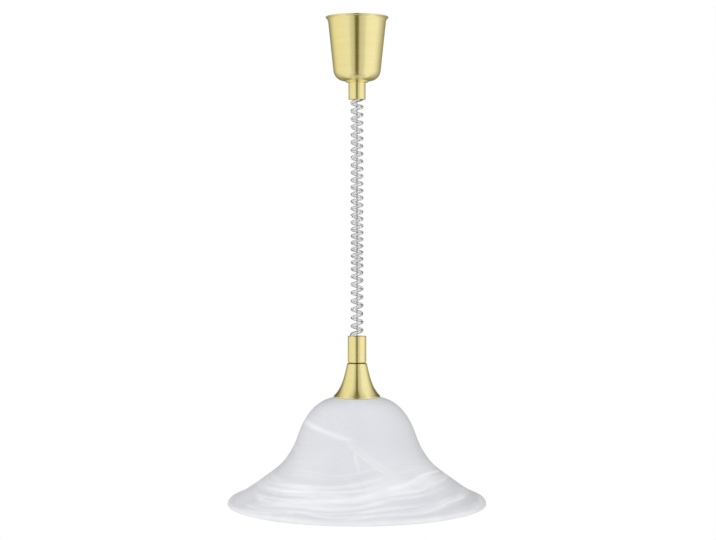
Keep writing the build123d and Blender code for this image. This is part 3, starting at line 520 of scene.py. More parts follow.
finishes = {
    "satin_brass": turned_brass("turned_satin_brass", "#F3E6A6", "#F7EDB2", 2.0, 0.27, 0.23),
    # Brass darkened with painted shade, standing in for the shade that falls in the groove under the grip
    "dark_brass": turned_brass("turned_brass_with_painted_shade", "#5C5024", "#7C6D36", 2.0, 0.5, 0.4),
    # Clear sheathing lets the light through, so it is pale with grey edges
    "grey_cord": moulded(
        "extruded_clear_pvc", "#EAEBEB", "#F2F3F3", 0.16, 0.5, IOR=1.53, Transmission_Weight=0.8
    ),
    "swirled_glass": swirled_glass(),
    "zinc_steel": zinc_plated("zinc_plated_mild_steel", "#A3A7AB", "#CDD0D2"),
    # Drawn wires are duller, and their colour is darkened further with painted shade, standing in for the
    # shade between the strands
    "rope_steel": zinc_plated("laid_galvanised_wire_rope_with_painted_shade", "#4E5154", "#6C6F72"),
    "black_plastic": moulded("moulded_black_thermoplastic", "#161617", "#1E1E20", 0.42, 0.4, IOR=1.5),
    "white_plastic": moulded("moulded_white_polyamide", "#D6D3C8", "#E2DFD5", 0.45, 0.4, IOR=1.53),
    # The glaze lies over the fired body as a clear coat
    "white_ceramic": moulded("glazed_steatite", "#E4E2D8", "#F0EEE6", 0.2, 3.0, IOR=1.55, Coat_Weight=0.4),
    "grey_rubber": moulded("moulded_grey_rubber", "#4A4A4A", "#565656", 0.7, 0.5, IOR=1.52),
    "brown_insulation": moulded("extruded_brown_pvc", "#4E2C18", "#5C3620", 0.4, 0.4, IOR=1.53),
    "blue_insulation": moulded("extruded_blue_pvc", "#2460A8", "#2E6CB8", 0.4, 0.4, IOR=1.53),
    "green_insulation": moulded("extruded_green_pvc", "#5B9A2C", "#68A836", 0.4, 0.4, IOR=1.53),
}

slots = {part["node"]: part["material_slot"] for part in frame["record"]["subparts"]}
node_finishes = {node: finishes[slot] for node, slot in slots.items()}
# The rope's pieces take the steel whose colour is darkened with painted shade
for node in ("steel_rope", "rope_in_reel", "rope_winding"):
    node_finishes[node] = finishes["rope_steel"]


def make(name, mesh, node, sharp_degrees=40):
    """Turns a mesh into the piece that stands for a node, in the node's finish."""
    bmesh.ops.recalc_face_normals(mesh, faces=mesh.faces)
    data = bpy.data.meshes.new(name)
    mesh.to_mesh(data)
    mesh.free()
    for face in data.polygons:
        face.use_smooth = True
    data.set_sharp_from_angle(angle=radians(sharp_degrees))
    piece = bpy.data.objects.new(name, data)
    scene.collection.objects.link(piece)
    data.materials.append(node_finishes[node])
    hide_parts(node)
    return piece


def fixed(name, mesh, node, sharp_degrees=40):
    """Makes a piece that rides on the body of the node that it stands for."""
    piece = make(name, mesh, node, sharp_degrees)
    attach(piece, body_of(nodes[node])[0])


def rounded(*corners):
    """Outline through corners of radius, drop and rounding, with an arc at each rounded corner."""
    outline = []
    for i, (radius, drop, rounding) in enumerate(corners):
        here = Vector((radius, drop))
        if rounding == 0:
            outline.append(tuple(here))
            continue
        back = (Vector(corners[i - 1][:2]) - here).normalized()
        ahead = (Vector(corners[(i + 1) % len(corners)][:2]) - here).normalized()
        half = back.angle(ahead) / 2
        centre = here + (back + ahead).normalized() * rounding / sin(half)
        first = here + back * rounding / tan(half) - centre
        last = here + ahead * rounding / tan(half) - centre
        turn = atan2(first.x * last.y - first.y * last.x, first.dot(last))
        steps = max(2, ceil(abs(turn) / arc_step))
        for step in range(steps + 1):
            outline.append(tuple(centre + Matrix.Rotation(turn * step / steps, 2) @ first))
    return outline


def smooth_outline(stations, steps=14):
    """Outline that passes each station of radius, drop and angle from the vertical in that direction."""
    outline = []
    for (radius, drop, angle), (next_radius, next_drop, next_angle) in zip(stations, stations[1:]):
        start = Vector((radius, drop))
        end = Vector((next_radius, next_drop))
        reach = (end - start).length
        leave = Vector((sin(radians(angle)), cos(radians(angle)))) * reach
        arrive = Vector((sin(radians(next_angle)), cos(radians(next_angle)))) * reach
        for step in range(steps):
            t = step / steps
            point = start * (2 * t**3 - 3 * t**2 + 1)
            point += leave * (t**3 - 2 * t**2 + t)
            point += end * (3 * t**2 - 2 * t**3)
            point += arrive * (t**3 - t**2)
            outline.append(tuple(point))
    outline.append(stations[-1][:2])
    return outline


def inset(outline, wall):
    """The same outline moved in towards the axis and down by the wall's thickness."""
    moved = []
    for i, point in enumerate(outline):
        before = Vector(outline[max(i - 1, 0)])
        after = Vector(outline[min(i + 1, len(outline) - 1)])
        run = (after - before).normalized()
        moved.append((point[0] - run.y * wall, point[1] + run.x * wall))
    return moved


hanging = Matrix.Translation((0, 0, hook_drop / 1000))


def turned(mesh, outline, segments=96, stand=hanging, flutes=None):
    """Adds a closed outline of radius and depth, turned about an axis. Flutes are a number, a depth, and
    the first and last point of the outline that they reach."""
    rings = []
    for number, (radius, depth) in enumerate(outline):
        ring = []
        for i in range(segments):
            angle = 2 * pi * i / segments
            here = radius
            if flutes and flutes[2] <= number <= flutes[3]:
                here -= flutes[1] * (0.5 + 0.5 * cos(flutes[0] * angle))
            point = Vector((here * sin(angle), -here * cos(angle), -depth)) / 1000
            ring.append(mesh.verts.new(stand @ point))
            if radius == 0:
                break
        rings.append(ring)
    for upper, lower in zip(rings, rings[1:] + rings[:1]):
        for i in range(segments):
            after = (i + 1) % segments
            above = (upper[i % len(upper)], upper[after % len(upper)])
            below = (lower[after % len(lower)], lower[i % len(lower)])
            corners = list(dict.fromkeys(above + below))
            if len(corners) > 2:
                mesh.faces.new(corners)


def turned_piece(name, node, outline, segments=96, flutes=None):
    """A piece turned about the lamp's axis."""
    mesh = bmesh.new()
    turned(mesh, outline, segments, flutes=flutes)
    fixed(name, mesh, node)


def read_spline(points, resolution):
    """Points along a smooth NURBS line that has these as its control points."""
    curve = bpy.data.curves.new("route", "CURVE")
    curve.dimensions = "3D"
    spline = curve.splines.new("NURBS")
    spline.points.add(len(points) - 1)
    for point, place in zip(spline.points, points):
        point.co = (*place, 1)
    spline.order_u = 3
    spline.use_endpoint_u = True
    spline.resolution_u = resolution
    route = bpy.data.objects.new("route", curve)
    scene.collection.objects.link(route)
    line = bpy.data.meshes.new_from_object(route.evaluated_get(bpy.context.evaluated_depsgraph_get()))
    places = [vertex.co.copy() for vertex in line.vertices]
    bpy.data.objects.remove(route)
    return places


def tube(mesh, places, section, twist_mm=None):
    """Adds a closed tube along the places. The section is a list of radius and angle, and may twist once in
    twist_mm."""
    run = (places[1] - places[0]).normalized()
    side = run.orthogonal().normalized()
    rings = []
    travelled = 0
    for i, place in enumerate(places):
        ahead = (places[min(i + 1, len(places) - 1)] - places[max(i - 1, 0)]).normalized()
        side = (side - ahead * side.dot(ahead)).normalized()
        other = ahead.cross(side)
        if i:
            travelled += (place - places[i - 1]).length * 1000
        turn = 2 * pi * travelled / twist_mm if twist_mm else 0
        ring = []
        for radius, angle in section:
            across = side * cos(angle + turn) + other * sin(angle + turn)
            ring.append(mesh.verts.new(place + across * radius / 1000))
        rings.append(ring)
    for upper, lower in zip(rings, rings[1:]):
        for i in range(len(section)):
            after = (i + 1) % len(section)
            mesh.faces.new((upper[i], upper[after], lower[after], lower[i]))
    mesh.faces.new(rings[0])
    mesh.faces.new(rings[-1])


def round_section(radius, sides):
    """Section of a round cord."""
    return [(radius, 2 * pi * i / sides) for i in range(sides)]


def hung(name, node, places, section, top, bottom, sharp_degrees=40, twist_mm=None):
    """A cord that follows the body above it at the top drop and the one below it at the bottom drop, and
    yields evenly in between. Each ring moves as a whole."""
    mesh = bmesh.new()
    tube(mesh, places, section, twist_mm)
    piece = make(name, mesh, node, sharp_degrees)
    upper, top_drop = top
    lower, bottom_drop = bottom
    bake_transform(piece, upper, lower, start=spot(0, 0, top_drop), end=spot(0, 0, bottom_drop))
    weights = []
    for place in places:
        share = (level(top_drop) - place.z) / (level(top_drop) - level(bottom_drop))
        weights += [min(max(share, 0), 1)] * len(section)
    piece.data.attributes["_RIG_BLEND"].data.foreach_set("value", weights)
    return piece


def coil_stretch(turn):
    """Drop covered by the curls up to this turn, in pitches of the waist, where they are closest."""
    to_waist = min(turn, coil_waist_turn)
    covered = coil_stretch_top * to_waist
    covered -= (coil_stretch_top - 1) * to_waist**2 / (2 * coil_waist_turn)
    eased = min(max(turn - coil_waist_turn, 0), coil_ease_turns)
    covered += eased + (coil_stretch_bottom - 1) * eased**2 / (2 * coil_ease_turns)
    covered += max(turn - coil_waist_turn - coil_ease_turns, 0) * coil_stretch_bottom
    return covered


# Curly cord, straight out of the nozzle, round its curls and down into the grip
cord_end_x = cord_end_radius * cos(radians(cord_end_angle))
cord_end_y = cord_end_radius * sin(radians(cord_end_angle))
cord_route = [spot(-coil_radius, 0, nozzle_drop + step * cord_radius) for step in range(3)]
# The line runs a little inside its control points, so those lie on a slightly wider helix
control_radius = coil_radius / cos(pi / points_per_turn)
coil_points = round((coil_turns + coil_lead_turn) * points_per_turn)
for step in range(coil_points + 1):
    turn = -coil_lead_turn + (coil_turns + coil_lead_turn) * step / coil_points
    angle = radians(90 - 360 * turn)
    share = coil_stretch(turn) / coil_stretch(coil_turns)
    drop = coil_start_drop + share * (coil_end_drop - coil_start_drop)
    cord_route.append(spot(control_radius * cos(angle), control_radius * sin(angle), drop))
for x, y, below in cord_bend:
    cord_route.append(spot(x, y, coil_end_drop + below))
cord_route += [
    spot(cord_end_x + cord_entry[0], cord_end_y + cord_entry[1], cord_end_drop + cord_entry[2]),
    spot(cord_end_x, cord_end_y, cord_end_drop),
]
cord_places = read_spline(cord_route, resolution=3)
# The first stretch bends where the cord swings, and the curls lengthen with the lamp
cord_section = round_section(cord_radius, cord_sides)
first_curl = next(i for i, place in enumerate(cord_places) if place.z < level(coil_start_drop))
exit_places = cord_places[: first_curl + 1]
curl_places = cord_places[first_curl:]
cord_start = ("suspension", nozzle_drop)
curl_start = ("hanging_cord", coil_start_drop)
curl_end = ("pendant", coil_end_drop)
cord_exit = hung("cord_exit", "spiral_cord", exit_places, cord_section, cord_start, curl_start)
curly_cord = hung("curly_cord", "spiral_cord", curl_places, cord_section, curl_start, curl_end)

# Steel rope inside the curls. Its section has one bulge for each outer strand.
rope_points = rope_strands * strand_steps
rope_section = []
for i in range(rope_points):
    bulge = 1 - strand_valley + strand_valley * cos(2 * pi * i / strand_steps)
    rope_section.append((rope_radius * bulge, 2 * pi * i / rope_points))
rope_middle_drop = (pivot_drop + ferrule_end_drop) / 2
rope_route = [spot(0, 0, drop) for drop in (pivot_drop, rope_middle_drop, ferrule_end_drop)]
rope_places = read_spline(rope_route, resolution=150)
rope_start = ("hanging_cord", pivot_drop)
rope_end = ("pendant", ferrule_end_drop)
laid_rope = hung("laid_rope", "steel_rope", rope_places, rope_section, rope_start, rope_end, 80, rope_lay)


def routed(name, node, route, section, resolution=12, twist_mm=None):
    """A fixed stretch of cord, rope or wire along a smooth line."""
    mesh = bmesh.new()
    tube(mesh, read_spline(route, resolution), section, twist_mm)
    fixed(name, mesh, node, sharp_degrees=80)


# Rope and cord inside the reel, the grip and the lampholder, and the three conductors
rope_lead_middle = (rope_lead_drop + pivot_drop) / 2
rope_lead = [spot(0, 0, drop) for drop in (rope_lead_drop, rope_lead_middle, pivot_drop)]
routed("rope_lead", "rope_in_reel", rope_lead, rope_section, resolution=30, twist_mm=rope_lay)
cord_lead_drops = (lead_top_drop, (lead_top_drop + nozzle_drop) / 2, nozzle_drop)
cord_lead = [spot(-coil_radius, 0, drop) for drop in cord_lead_drops]
routed("sheathed_lead", "cord_lead", cord_lead, cord_section)
cord_tail = [
    spot(cord_end_x, cord_end_y, cord_end_drop),
    spot(cord_end_x, cord_end_y, ferrule_end_drop),
    spot(cord_end_x, cord_end_y, ferrule_end_drop + 2 * cord_radius),
    spot(0, 0, nipple_top_drop - 2 * cord_radius),
    spot(0, 0, nipple_top_drop),
    spot(0, 0, insert_top_drop),
]
routed("sheathed_tail", "cord_tail", cord_tail, cord_section)
for name, node, pole in (
    ("live_conductor", "live_wire", -1),
    ("earth_conductor", "earth_wire", 0),
    ("neutral_conductor", "neutral_wire", 1),
):
    conductor = [
        spot(-coil_radius, pole * wire_spread, lead_top_drop),
        spot(-coil_radius, pole * wire_spread, lead_top_drop - wire_straight),
        spot(wire_x, pole * pole_pitch, block_bottom_drop + wire_straight),
        spot(wire_x, pole * pole_pitch, block_bottom_drop - wire_seat),
    ]
    routed(name, node, conductor, round_section(wire_radius, wire_sides))

# Ceiling cup, spun from sheet, with its edge turned out into a thin lip
outer_wall = rounded(
    (neck_hole_radius, cup_drop, 0),
    (cup_base_radius, cup_drop, cup_round),
    (lip_foot_radius, lip_foot_drop, 0),
)
lip = []
for step in range(lip_steps + 1):
    angle = radians(lip_first_angle - lip_turn * step / lip_steps)
    radius = lip_centre_radius + lip_radius * cos(angle)
    lip.append((radius, lip_centre_drop + lip_radius * sin(angle)))
inner_foot = (lip_foot_radius - cup_wall, lip_foot_drop)
outer_flare = smooth_outline(
    [(*outer_wall[-1], flare_foot_heading), (*lip[0], flare_lip_heading)], flare_steps
)[1:-1]
inner_flare = smooth_outline(
    [(*lip[-1], inner_lip_heading), (*inner_foot, inner_foot_heading)], flare_steps
)[1:-1]
inner_wall = rounded(
    (*inner_foot, 0),
    (cup_base_radius - cup_wall, cup_drop - cup_wall, cup_round - cup_wall),
    (neck_hole_radius, cup_drop - cup_wall, 0),
)
cup_outline = outer_wall + outer_flare + lip + inner_flare + inner_wall
turned_piece("spun_cup", "ceiling_cup", cup_outline, segments=160)

# Ring and collar under the cup
flange_outline = rounded(
    (neck_hole_radius, cup_drop, 0),
    (flange_radius, cup_drop, broken_edge),
    (flange_radius, flange_bottom_drop, soft_edge),
    (neck_hole_radius, flange_bottom_drop, 0),
)
turned_piece("turned_flange", "flange_ring", flange_outline)
collar_outline = rounded(
    (collar_bore_radius, collar_neck_drop, crisp_edge),
    (collar_neck_radius, collar_neck_drop, crisp_edge),
    (collar_neck_radius, flange_bottom_drop, 0),
    (collar_radius, flange_bottom_drop, crisp_edge),
    (collar_radius, collar_bottom_drop, soft_edge),
    (collar_bore_radius, collar_bottom_drop, light_edge),
)
turned_piece("turned_collar", "outlet_collar", collar_outline)

# Thumb screw at the back of the collar, with a knurled head
thumb_screw = bmesh.new()
facing_back = Matrix.Rotation(radians(90), 4, "X")
head_end = set_screw_head_y + set_screw_head_length
thumb_outline = rounded(
    (0, set_screw_tip_y, 0),
    (set_screw_radius, set_screw_tip_y, broken_edge),
    (set_screw_radius, set_screw_head_y, 0),
    (set_screw_head_radius, set_screw_head_y, broken_edge),
    (set_screw_head_radius, head_end, eased_edge),
    (0, head_end, 0),
)
knurled = [i for i, point in enumerate(thumb_outline) if point[0] > set_screw_radius + knurl_depth]
in_collar = Matrix.Translation(spot(0, 0, set_screw_drop)) @ facing_back
turned(thumb_screw, thumb_outline, 120, in_collar, (knurl_count, knurl_depth, knurled[0], knurled[-1]))
fixed("knurled_thumb_screw", thumb_screw, "collar_set_screw")

# Rope wound on the drum, turn beside turn
winding = bmesh.new()
on_reel = Matrix.Translation(spot(reel_x, 0, reel_drop)) @ facing_back
turns_wound = int(winding_width / (2 * rope_radius))
root_radius = wound_radius - winding_depth
wound = [(root_radius, winding_width / 2), (root_radius, -winding_width / 2)]
for number in range(turns_wound):
    middle = -winding_width / 2 + winding_width * (number + 0.5) / turns_wound
    for angle in (-60, -20, 20, 60):
        across = middle + rope_radius * sin(radians(angle))
        wound.append((wound_radius - rope_radius * (1 - cos(radians(angle))), across))
turned(winding, wound, 48, on_reel)
fixed("wound_rope", winding, "rope_winding", sharp_degrees=60)

# Grip tube with eased edges, the ring in the groove, darkened with painted shade, and the spun cone with the
# gasket in its rim
grip_outline = rounded(
    (grip_bore_radius, grip_drop, broken_edge),
    (grip_radius, grip_drop, eased_edge),
    (grip_radius, grip_bottom_drop, eased_edge),
    (nipple_hole_radius, grip_bottom_drop, 0),
    (nipple_hole_radius, grip_floor_drop, 0),
    (grip_bore_radius, grip_floor_drop, 0),
)
turned_piece("turned_grip", "grip_tube", grip_outline)
groove_outline = rounded(
    (nipple_hole_radius, grip_bottom_drop, 0),
    (groove_radius, grip_bottom_drop, crisp_edge),
    (groove_radius, cone_drop, crisp_edge),
    (nipple_hole_radius, cone_drop, 0),
)
turned_piece("turned_groove_ring", "groove_ring", groove_outline)
cone_top = (cone_top_radius, cone_drop + cone_top_ease_down, cone_top_angle)
cone_flare = (cone_flare_radius, cone_flare_drop, cone_flare_angle)
cone_side = smooth_outline([cone_top, cone_flare], cone_steps)
cone_inside = inset(cone_side, cone_wall)
cone_rim = rounded(
    (*cone_side[-1], 0),
    (cone_rim_radius, cone_rim_top_drop, 0),
    (cone_rim_radius, cone_rim_drop, broken_edge),
    (cone_inside[-1][0], cone_rim_drop, crisp_edge),
    (*cone_inside[-1], 0),
)[1:-1]
cone_outline = [
    (nipple_hole_radius, cone_drop),
    (cone_top_radius - cone_top_ease_in, cone_drop),
    *cone_side,
    *cone_rim,
    *cone_inside[:0:-1],
    (cone_top_radius - cone_wall, cone_drop + cone_floor),
    (nipple_hole_radius, cone_drop + cone_floor),
]
turned_piece("spun_cone", "cone_cover", cone_outline)
gasket_outline = rounded(
    (gasket_inner_radius, gasket_top_drop, crisp_edge),
    (gasket_outer_radius, gasket_top_drop, crisp_edge),
    (gasket_outer_radius, gasket_outer_drop, 0),
    (gasket_inner_radius, gasket_inner_drop, 0),
)
turned_piece("moulded_gasket", "cone_gasket", gasket_outline)

# Glass bell: seat that falls away under the cone's rim, shoulder, waist, flare, turned-down lip and a
# fire-polished rim. Inside, a flat is ground round the hole for the grommet.
bell = smooth_outline(bell_stations)
rim_drop = shade_drop + shade_height
glass_lip = rounded(
    (*bell[-1], 0),
    (shade_radius, lip_corner_drop, lip_round),
    (shade_radius, rim_drop, 0),
)
glass_outside = bell[:-1] + glass_lip[:-1]
ground_drop = shade_drop + shade_wall
glass_inside = []
for radius, drop in inset(glass_outside, shade_wall):
    glass_inside.append((radius, ground_drop if radius < ground_radius else drop))
rim = rounded(
    (*glass_outside[-1], 0),
    (shade_radius, rim_drop, rim_round),
    (shade_radius - shade_wall, rim_drop, rim_round),
    (*glass_inside[-1], 0),
)[1:-1]
turned_piece("blown_bell", "glass_shade", glass_outside + rim + glass_inside[::-1], segments=192)

# Lampholder: a plain cap, and a shell with a ring at the joint and grip flutes below it
cap_outline = rounded(
    (holder_bore_radius, holder_drop, 0),
    (holder_neck_radius, holder_drop, soft_edge),
    (holder_neck_radius, holder_dome_drop, 0),
    (holder_radius, holder_shoulder_drop, holder_dome_round),
    (holder_radius, holder_joint_drop, light_edge),
    (holder_radius - holder_wall, holder_joint_drop, 0),
    (holder_radius - holder_wall, holder_inside_drop, 0),
    (holder_neck_radius, holder_dome_drop + holder_wall, 0),
    (holder_bore_radius, holder_dome_drop + holder_wall, 0),
)
turned_piece("moulded_cap", "lampholder_cap", cap_outline, segments=144)
shell_outline = rounded(
    (insert_seat_radius, holder_joint_drop, 0),
    (shell_ring_radius, holder_joint_drop, eased_edge),
    (shell_ring_radius, shell_ring_drop, light_edge),
    (shell_body_radius, shell_body_drop, 0),
    (shell_body_radius, shell_taper_drop, 0),
    (shell_mouth_radius, shell_mouth_drop, full_edge),
    (shell_bore_radius, shell_mouth_drop, eased_edge),
    (shell_bore_radius, insert_ledge_drop, 0),
    (insert_seat_radius, insert_ledge_drop, 0),
)
below_ring = (shell_ring_drop + shell_body_drop) / 2
fluted = next(i for i, point in enumerate(shell_outline) if point[1] > below_ring)
grip_flutes = (shell_flutes, shell_flute_depth, fluted, fluted + 1)
turned_piece("moulded_shell", "lampholder_shell", shell_outline, segments=216, flutes=grip_flutes)

# Screw shell, rolled into a round thread
thread = bmesh.new()
sheets = []
for radius in (socket_outer_radius - socket_thread_depth, socket_inner_radius):
    sheet = []
    for row in range(socket_rows + 1):
        drop = socket_drop + (socket_bottom_drop - socket_drop) * row / socket_rows
        for i in range(socket_segments):
            angle = 2 * pi * i / socket_segments
            wave = 0.5 + 0.5 * cos(2 * pi * drop / socket_pitch - angle)
            reach = radius + socket_thread_depth * wave
            sheet.append(thread.verts.new(spot(reach * sin(angle), -reach * cos(angle), drop)))
    sheets.append(sheet)
outer, inner = sheets
for row in range(socket_rows + 1):
    for i in range(socket_segments):
        here = row * socket_segments + i
        beside = row * socket_segments + (i + 1) % socket_segments
        if row < socket_rows:
            under = here + socket_segments
            under_beside = beside + socket_segments
            for sheet in sheets:
                thread.faces.new((sheet[here], sheet[beside], sheet[under_beside], sheet[under]))
        if row in (0, socket_rows):
            thread.faces.new((outer[here], outer[beside], inner[beside], inner[here]))
fixed("rolled_screw_shell", thread, "screw_shell")


def slotted_screw(mesh, stand, shank_radius, shank_length, head_radius, head_length, slot_turn):
    """Adds a screw whose head rises from its seat, with a sawn slot that stands at the given angle."""
    slot_floor = head_length * slot_floor_share
    shank = [(0, -shank_length), (shank_radius, -shank_length), (shank_radius, 0)]
    if shank_length == 0:
        shank = [(0, 0)]
    seat = [(head_radius, 0), (head_radius, slot_floor), (0, slot_floor)]
    turned(mesh, shank + seat, 32, stand)
    # The two halves of the head start a little under the slot's floor and end in an eased edge
    slot_half = head_radius * slot_half_share
    eased = head_radius * head_ease_share
    across_slot = Matrix.Rotation(radians(slot_turn), 2)
    steps = 14
    for side in (1, -1):
        rings = []
        for radius, depth in (
            (head_radius, slot_floor * 0.8),
            (head_radius, head_length - eased),
            (head_radius - eased * 0.3, head_length - eased * 0.3),
            (head_radius - eased, head_length),
        ):
            half_arc = acos(slot_half / radius)
            ring = []
            for step in range(steps + 1):
                angle = half_arc * (2 * step / steps - 1)
                flat = across_slot @ Vector((cos(angle), sin(angle)))
                point = Vector((side * flat.x * radius, side * flat.y * radius, -depth)) / 1000
                ring.append(mesh.verts.new(stand @ point))
            rings.append(ring)
        for lower, upper in zip(rings, rings[1:]):
            for i in range(steps + 1):
                after = (i + 1) % (steps + 1)
                mesh.faces.new((lower[i], lower[after], upper[after], upper[i]))
        mesh.faces.new(rings[0])
        mesh.faces.new(rings[-1])


# Slotted screws. Those of the housing lie in its ears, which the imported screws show.
facing_front = Matrix.Rotation(radians(-90), 4, "X")
facing_left = Matrix.Rotation(radians(90), 4, "Y")
facing_down = Matrix.Identity(4)
housing_low, housing_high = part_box("housing_screws")
ear_x = (housing_low[0] + housing_high[0]) * 500
ear_y = housing_low[1] * 1000 + screw_head_length
ear_shank = housing_high[1] * 1000 - ear_y
upper_ear_drop = hook_drop - housing_high[2] * 1000 + screw_head_radius
lower_ear_drop = hook_drop - housing_low[2] * 1000 - screw_head_radius
bolt_seats = [(0, bolt_seat_y, bolt_drop)]
ear_seats = [(ear_x, ear_y, drop) for drop in (upper_ear_drop, lower_ear_drop)]
nozzle_seats = [(nozzle_screw_x, y, nozzle_seat_drop) for y in (-nozzle_screw_y, nozzle_screw_y)]
clamp_seats = [(clamp_screw_x, y, clamp_screw_drop) for y in (-clamp_screw_y, clamp_screw_y)]
well_x = block_front_x + well_depth
terminal_seats = [(well_x, pole * pole_pitch, drop) for pole in (-1, 0, 1) for drop in pole_drops]
bolt_shank = (bolt_radius, bolt_length)
housing_shank = (housing_screw_radius, ear_shank)
nozzle_shank = (small_screw_radius, nozzle_screw_length)
clamp_shank = (small_screw_radius, clamp_screw_length)
bolt_head = (bolt_head_radius, bolt_head_length)
small_head = (screw_head_radius, screw_head_length)
terminal_head = (terminal_screw_radius, well_depth / 2)
for name, node, facing, seats, shank, head in (
    ("slotted_hanger_bolt", "hanger_bolt", facing_front, bolt_seats, bolt_shank, bolt_head),
    ("slotted_housing_screws", "housing_screws", facing_front, ear_seats, housing_shank, small_head),
    ("slotted_nozzle_screws", "nozzle_screws", facing_down, nozzle_seats, nozzle_shank, small_head),
    ("slotted_clamp_screws", "clamp_screws", facing_left, clamp_seats, clamp_shank, small_head),
    ("slotted_terminal_screws", "terminal_screws", facing_left, terminal_seats, (0, 0), terminal_head),
):
    screws = bmesh.new()
    for number, seat in enumerate(seats):
        # Screws stop at any angle when they are tight
        slot_turn = first_slot_turn + next_slot_turn * number
        slotted_screw(screws, Matrix.Translation(spot(*seat)) @ facing, *shank, *head, slot_turn)
    fixed(name, screws, node)

# Nodes whose shape is right keep it, with edges eased as moulding, stamping or filing leaves them
for name, node in nodes.items():
    node.data.materials.clear()
    node.data.materials.append(node_finishes[name])
for name in (
    "collar_locknut",
    "hanger_plate",
    "hanger_nut",
    "reel_housing_front",
    "reel_housing_back",
    "cord_clamp",
    "terminal_block",
    "outlet_nozzle",
    "nipple_nuts",
    "clamp_washer",
    "tube_cap",
):
    ease = nodes[name].modifiers.new("eased_edges", "BEVEL")
    ease.width = broken_edge / 1000
    ease.segments = 2
    ease.limit_method = "ANGLE"
    ease.angle_limit = radians(50)
    ease.harden_normals = True

# Round floor far below the lamp, which clears it when it is pulled right down. It keeps the lamp's shadow,
# and towards its edge the eye sees it turn as white as the surround. Its sizes are in metres.
room_height = 2.4
room_width = 11.0
fade_start = 0.8
fade_end = 0.42 * room_width
floor_mesh = bmesh.new()
bmesh.ops.create_circle(floor_mesh, cap_ends=True, segments=96, radius=room_width / 2)
bmesh.ops.translate(floor_mesh, vec=(0, 0, level(0) - room_height), verts=floor_mesh.verts)
floor_data = bpy.data.meshes.new("floor")
floor_mesh.to_mesh(floor_data)
floor_mesh.free()
floor = bpy.data.objects.new("floor", floor_data)
scene.collection.objects.link(floor)
pale_floor = moulded("matt_pale_floor", "#F0F0F0", "#F4F4F4", 0.8, 20.0)
floor_data.materials.append(pale_floor)
floor_tree = pale_floor.node_tree
floor_end = next(node for node in floor_tree.nodes if node.type == "OUTPUT_MATERIAL")
floor_shade = floor_end.inputs["Surface"].links[0].from_socket
floor_place = add(floor_tree, "TexCoord").outputs["Object"]
across = add(floor_tree, "VectorMath", {0: floor_place, 1: (1, 1, 0)}, operation="MULTIPLY")
reach = add(floor_tree, "VectorMath", {0: across}, operation="LENGTH")
fade_range = {"Value": reach, "From Min": fade_start, "From Max": fade_end}
fade = add(floor_tree, "MapRange", fade_range, **smooth)
seen = add(floor_tree, "LightPath").outputs["Is Camera Ray"]
fade_seen = add(floor_tree, "Math", {0: fade, 1: seen}, operation="MULTIPLY")
white = add(floor_tree, "Emission", {"Color": linear("#FFFFFF"), "Strength": 1.0})
floor_mix = add(floor_tree, "MixShader", {0: fade_seen, 1: floor_shade, 2: white})
give(floor_tree, floor_end, {"Surface": floor_mix})
floor.visible_glossy = False


def soft_light(name, place, size, power):
    """Large soft lamp that points at the middle of the object."""
    data = bpy.data.lights.new(name, "AREA")
    data.shape = "SQUARE"
    data.size = size
    data.energy = power
    lamp = bpy.data.objects.new(name, data)
    scene.collection.objects.link(lamp)
    lamp.location = place
    aim = Vector((0, 0, -0.45)) - lamp.location
    lamp.rotation_euler = aim.to_track_quat("-Z", "Y").to_euler()
    lamp.visible_glossy = False


soft_light("left_softbox", place=(-1.9, -1.9, 0.6), size=1.6, power=11.5)
soft_light("right_softbox", place=(1.9, -1.9, 0.6), size=1.6, power=6.6)

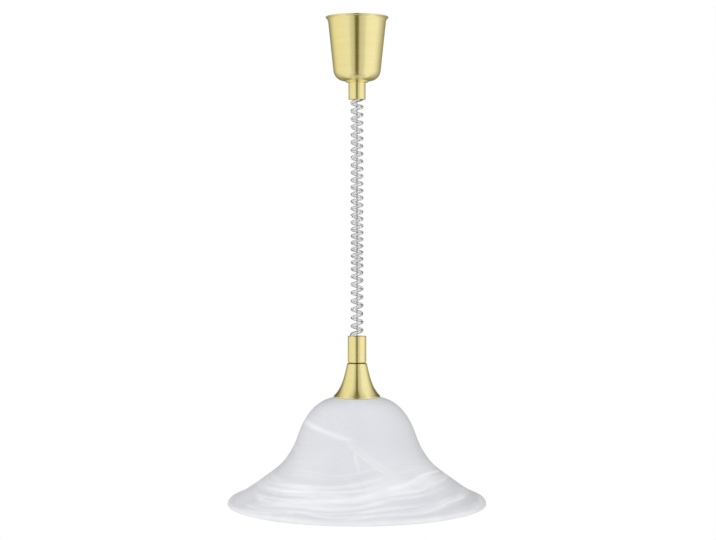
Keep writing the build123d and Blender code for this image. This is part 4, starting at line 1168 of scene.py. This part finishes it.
# Studio surround. It is white where it is seen directly, and softer as light. In polished metal it shows
# as a dark gap between two white panels behind the camera, which runs on overhead and underneath, and
# corners behind the lamp that darken upwards. Through clear plastic it is white round the horizon and
# grey above and below.
world = bpy.data.worlds.new("white_studio")
world.use_nodes = True
scene.world = world
sky = world.node_tree
sky.nodes.clear()
path = add(sky, "LightPath").outputs
heading = add(sky, "SeparateXYZ", {"Vector": add(sky, "TexCoord").outputs["Generated"]}).outputs
rise = add(sky, "Math", {0: heading["Z"]}, operation="ABSOLUTE")
band_range = {"From Min": 0.35, "From Max": 0.65, "To Min": 1.0, "To Max": 0.03}
band = add(sky, "MapRange", {"Value": rise, **band_range}, **smooth)
overhead = add(sky, "MapRange", {"Value": rise, "From Min": 0.75}, **smooth)
toward = add(sky, "Math", {0: overhead, 1: heading["Y"]}, operation="SUBTRACT")
bearing = add(sky, "Math", {0: heading["X"], 1: toward}, operation="ARCTAN2")
bearing_share = add(sky, "MapRange", {"Value": bearing, "From Min": -pi, "From Max": pi})
# Degrees round from behind the camera, and the colour there
panel_stops = (
    (-165, "#8E8A76"),
    (-140, "#B4B09C"),
    (-121, "#E4DFC8"),
    (-100, "#F3EFDE"),
    (-36, "#F6F5F0"),
    (-25, "#DCDAD2"),
    (-12, "#CFCCBE"),
    (-6, "#615C22"),
    (5, "#615C22"),
    (11, "#D2CFC4"),
    (33, "#E2E0DA"),
    (42, "#FBFAF6"),
    (85, "#FFFFFF"),
    (104, "#EFEDE6"),
    (122, "#D0CEC6"),
    (140, "#B4B09C"),
    (165, "#8E8A76"),
)
bearing_stops = [(0.5 + degrees / 360, colour) for degrees, colour in panel_stops]
panels = add(sky, "ValToRGB", {"Fac": bearing_share}, bearing_stops)
behind = add(sky, "MapRange", {"Value": heading["Y"], "From Min": 0.35, "From Max": 0.95}, **smooth)
raised = add(sky, "MapRange", {"Value": heading["Z"], "From Max": 0.3, "To Max": 0.8}, **smooth)
dimmed = add(sky, "Math", {0: behind, 1: raised}, operation="MULTIPLY")
mirrored = add(sky, "Mix", {"Factor": dimmed, "A": panels, "B": linear("#000000")}, data_type="RGBA")
softened = add(sky, "MapRange", {"Value": path["Is Camera Ray"], "To Min": 0.86})
glossy = path["Is Glossy Ray"]
in_metal = add(sky, "Mix", {"Factor": glossy, "A": softened, "B": mirrored}, data_type="RGBA")
through = path["Is Transmission Ray"]
shown = add(sky, "Mix", {"Factor": through, "A": in_metal, "B": band}, data_type="RGBA")
surround = add(sky, "Background", {"Color": shown, "Strength": 1.0})
add(sky, "OutputWorld", {"Surface": surround})
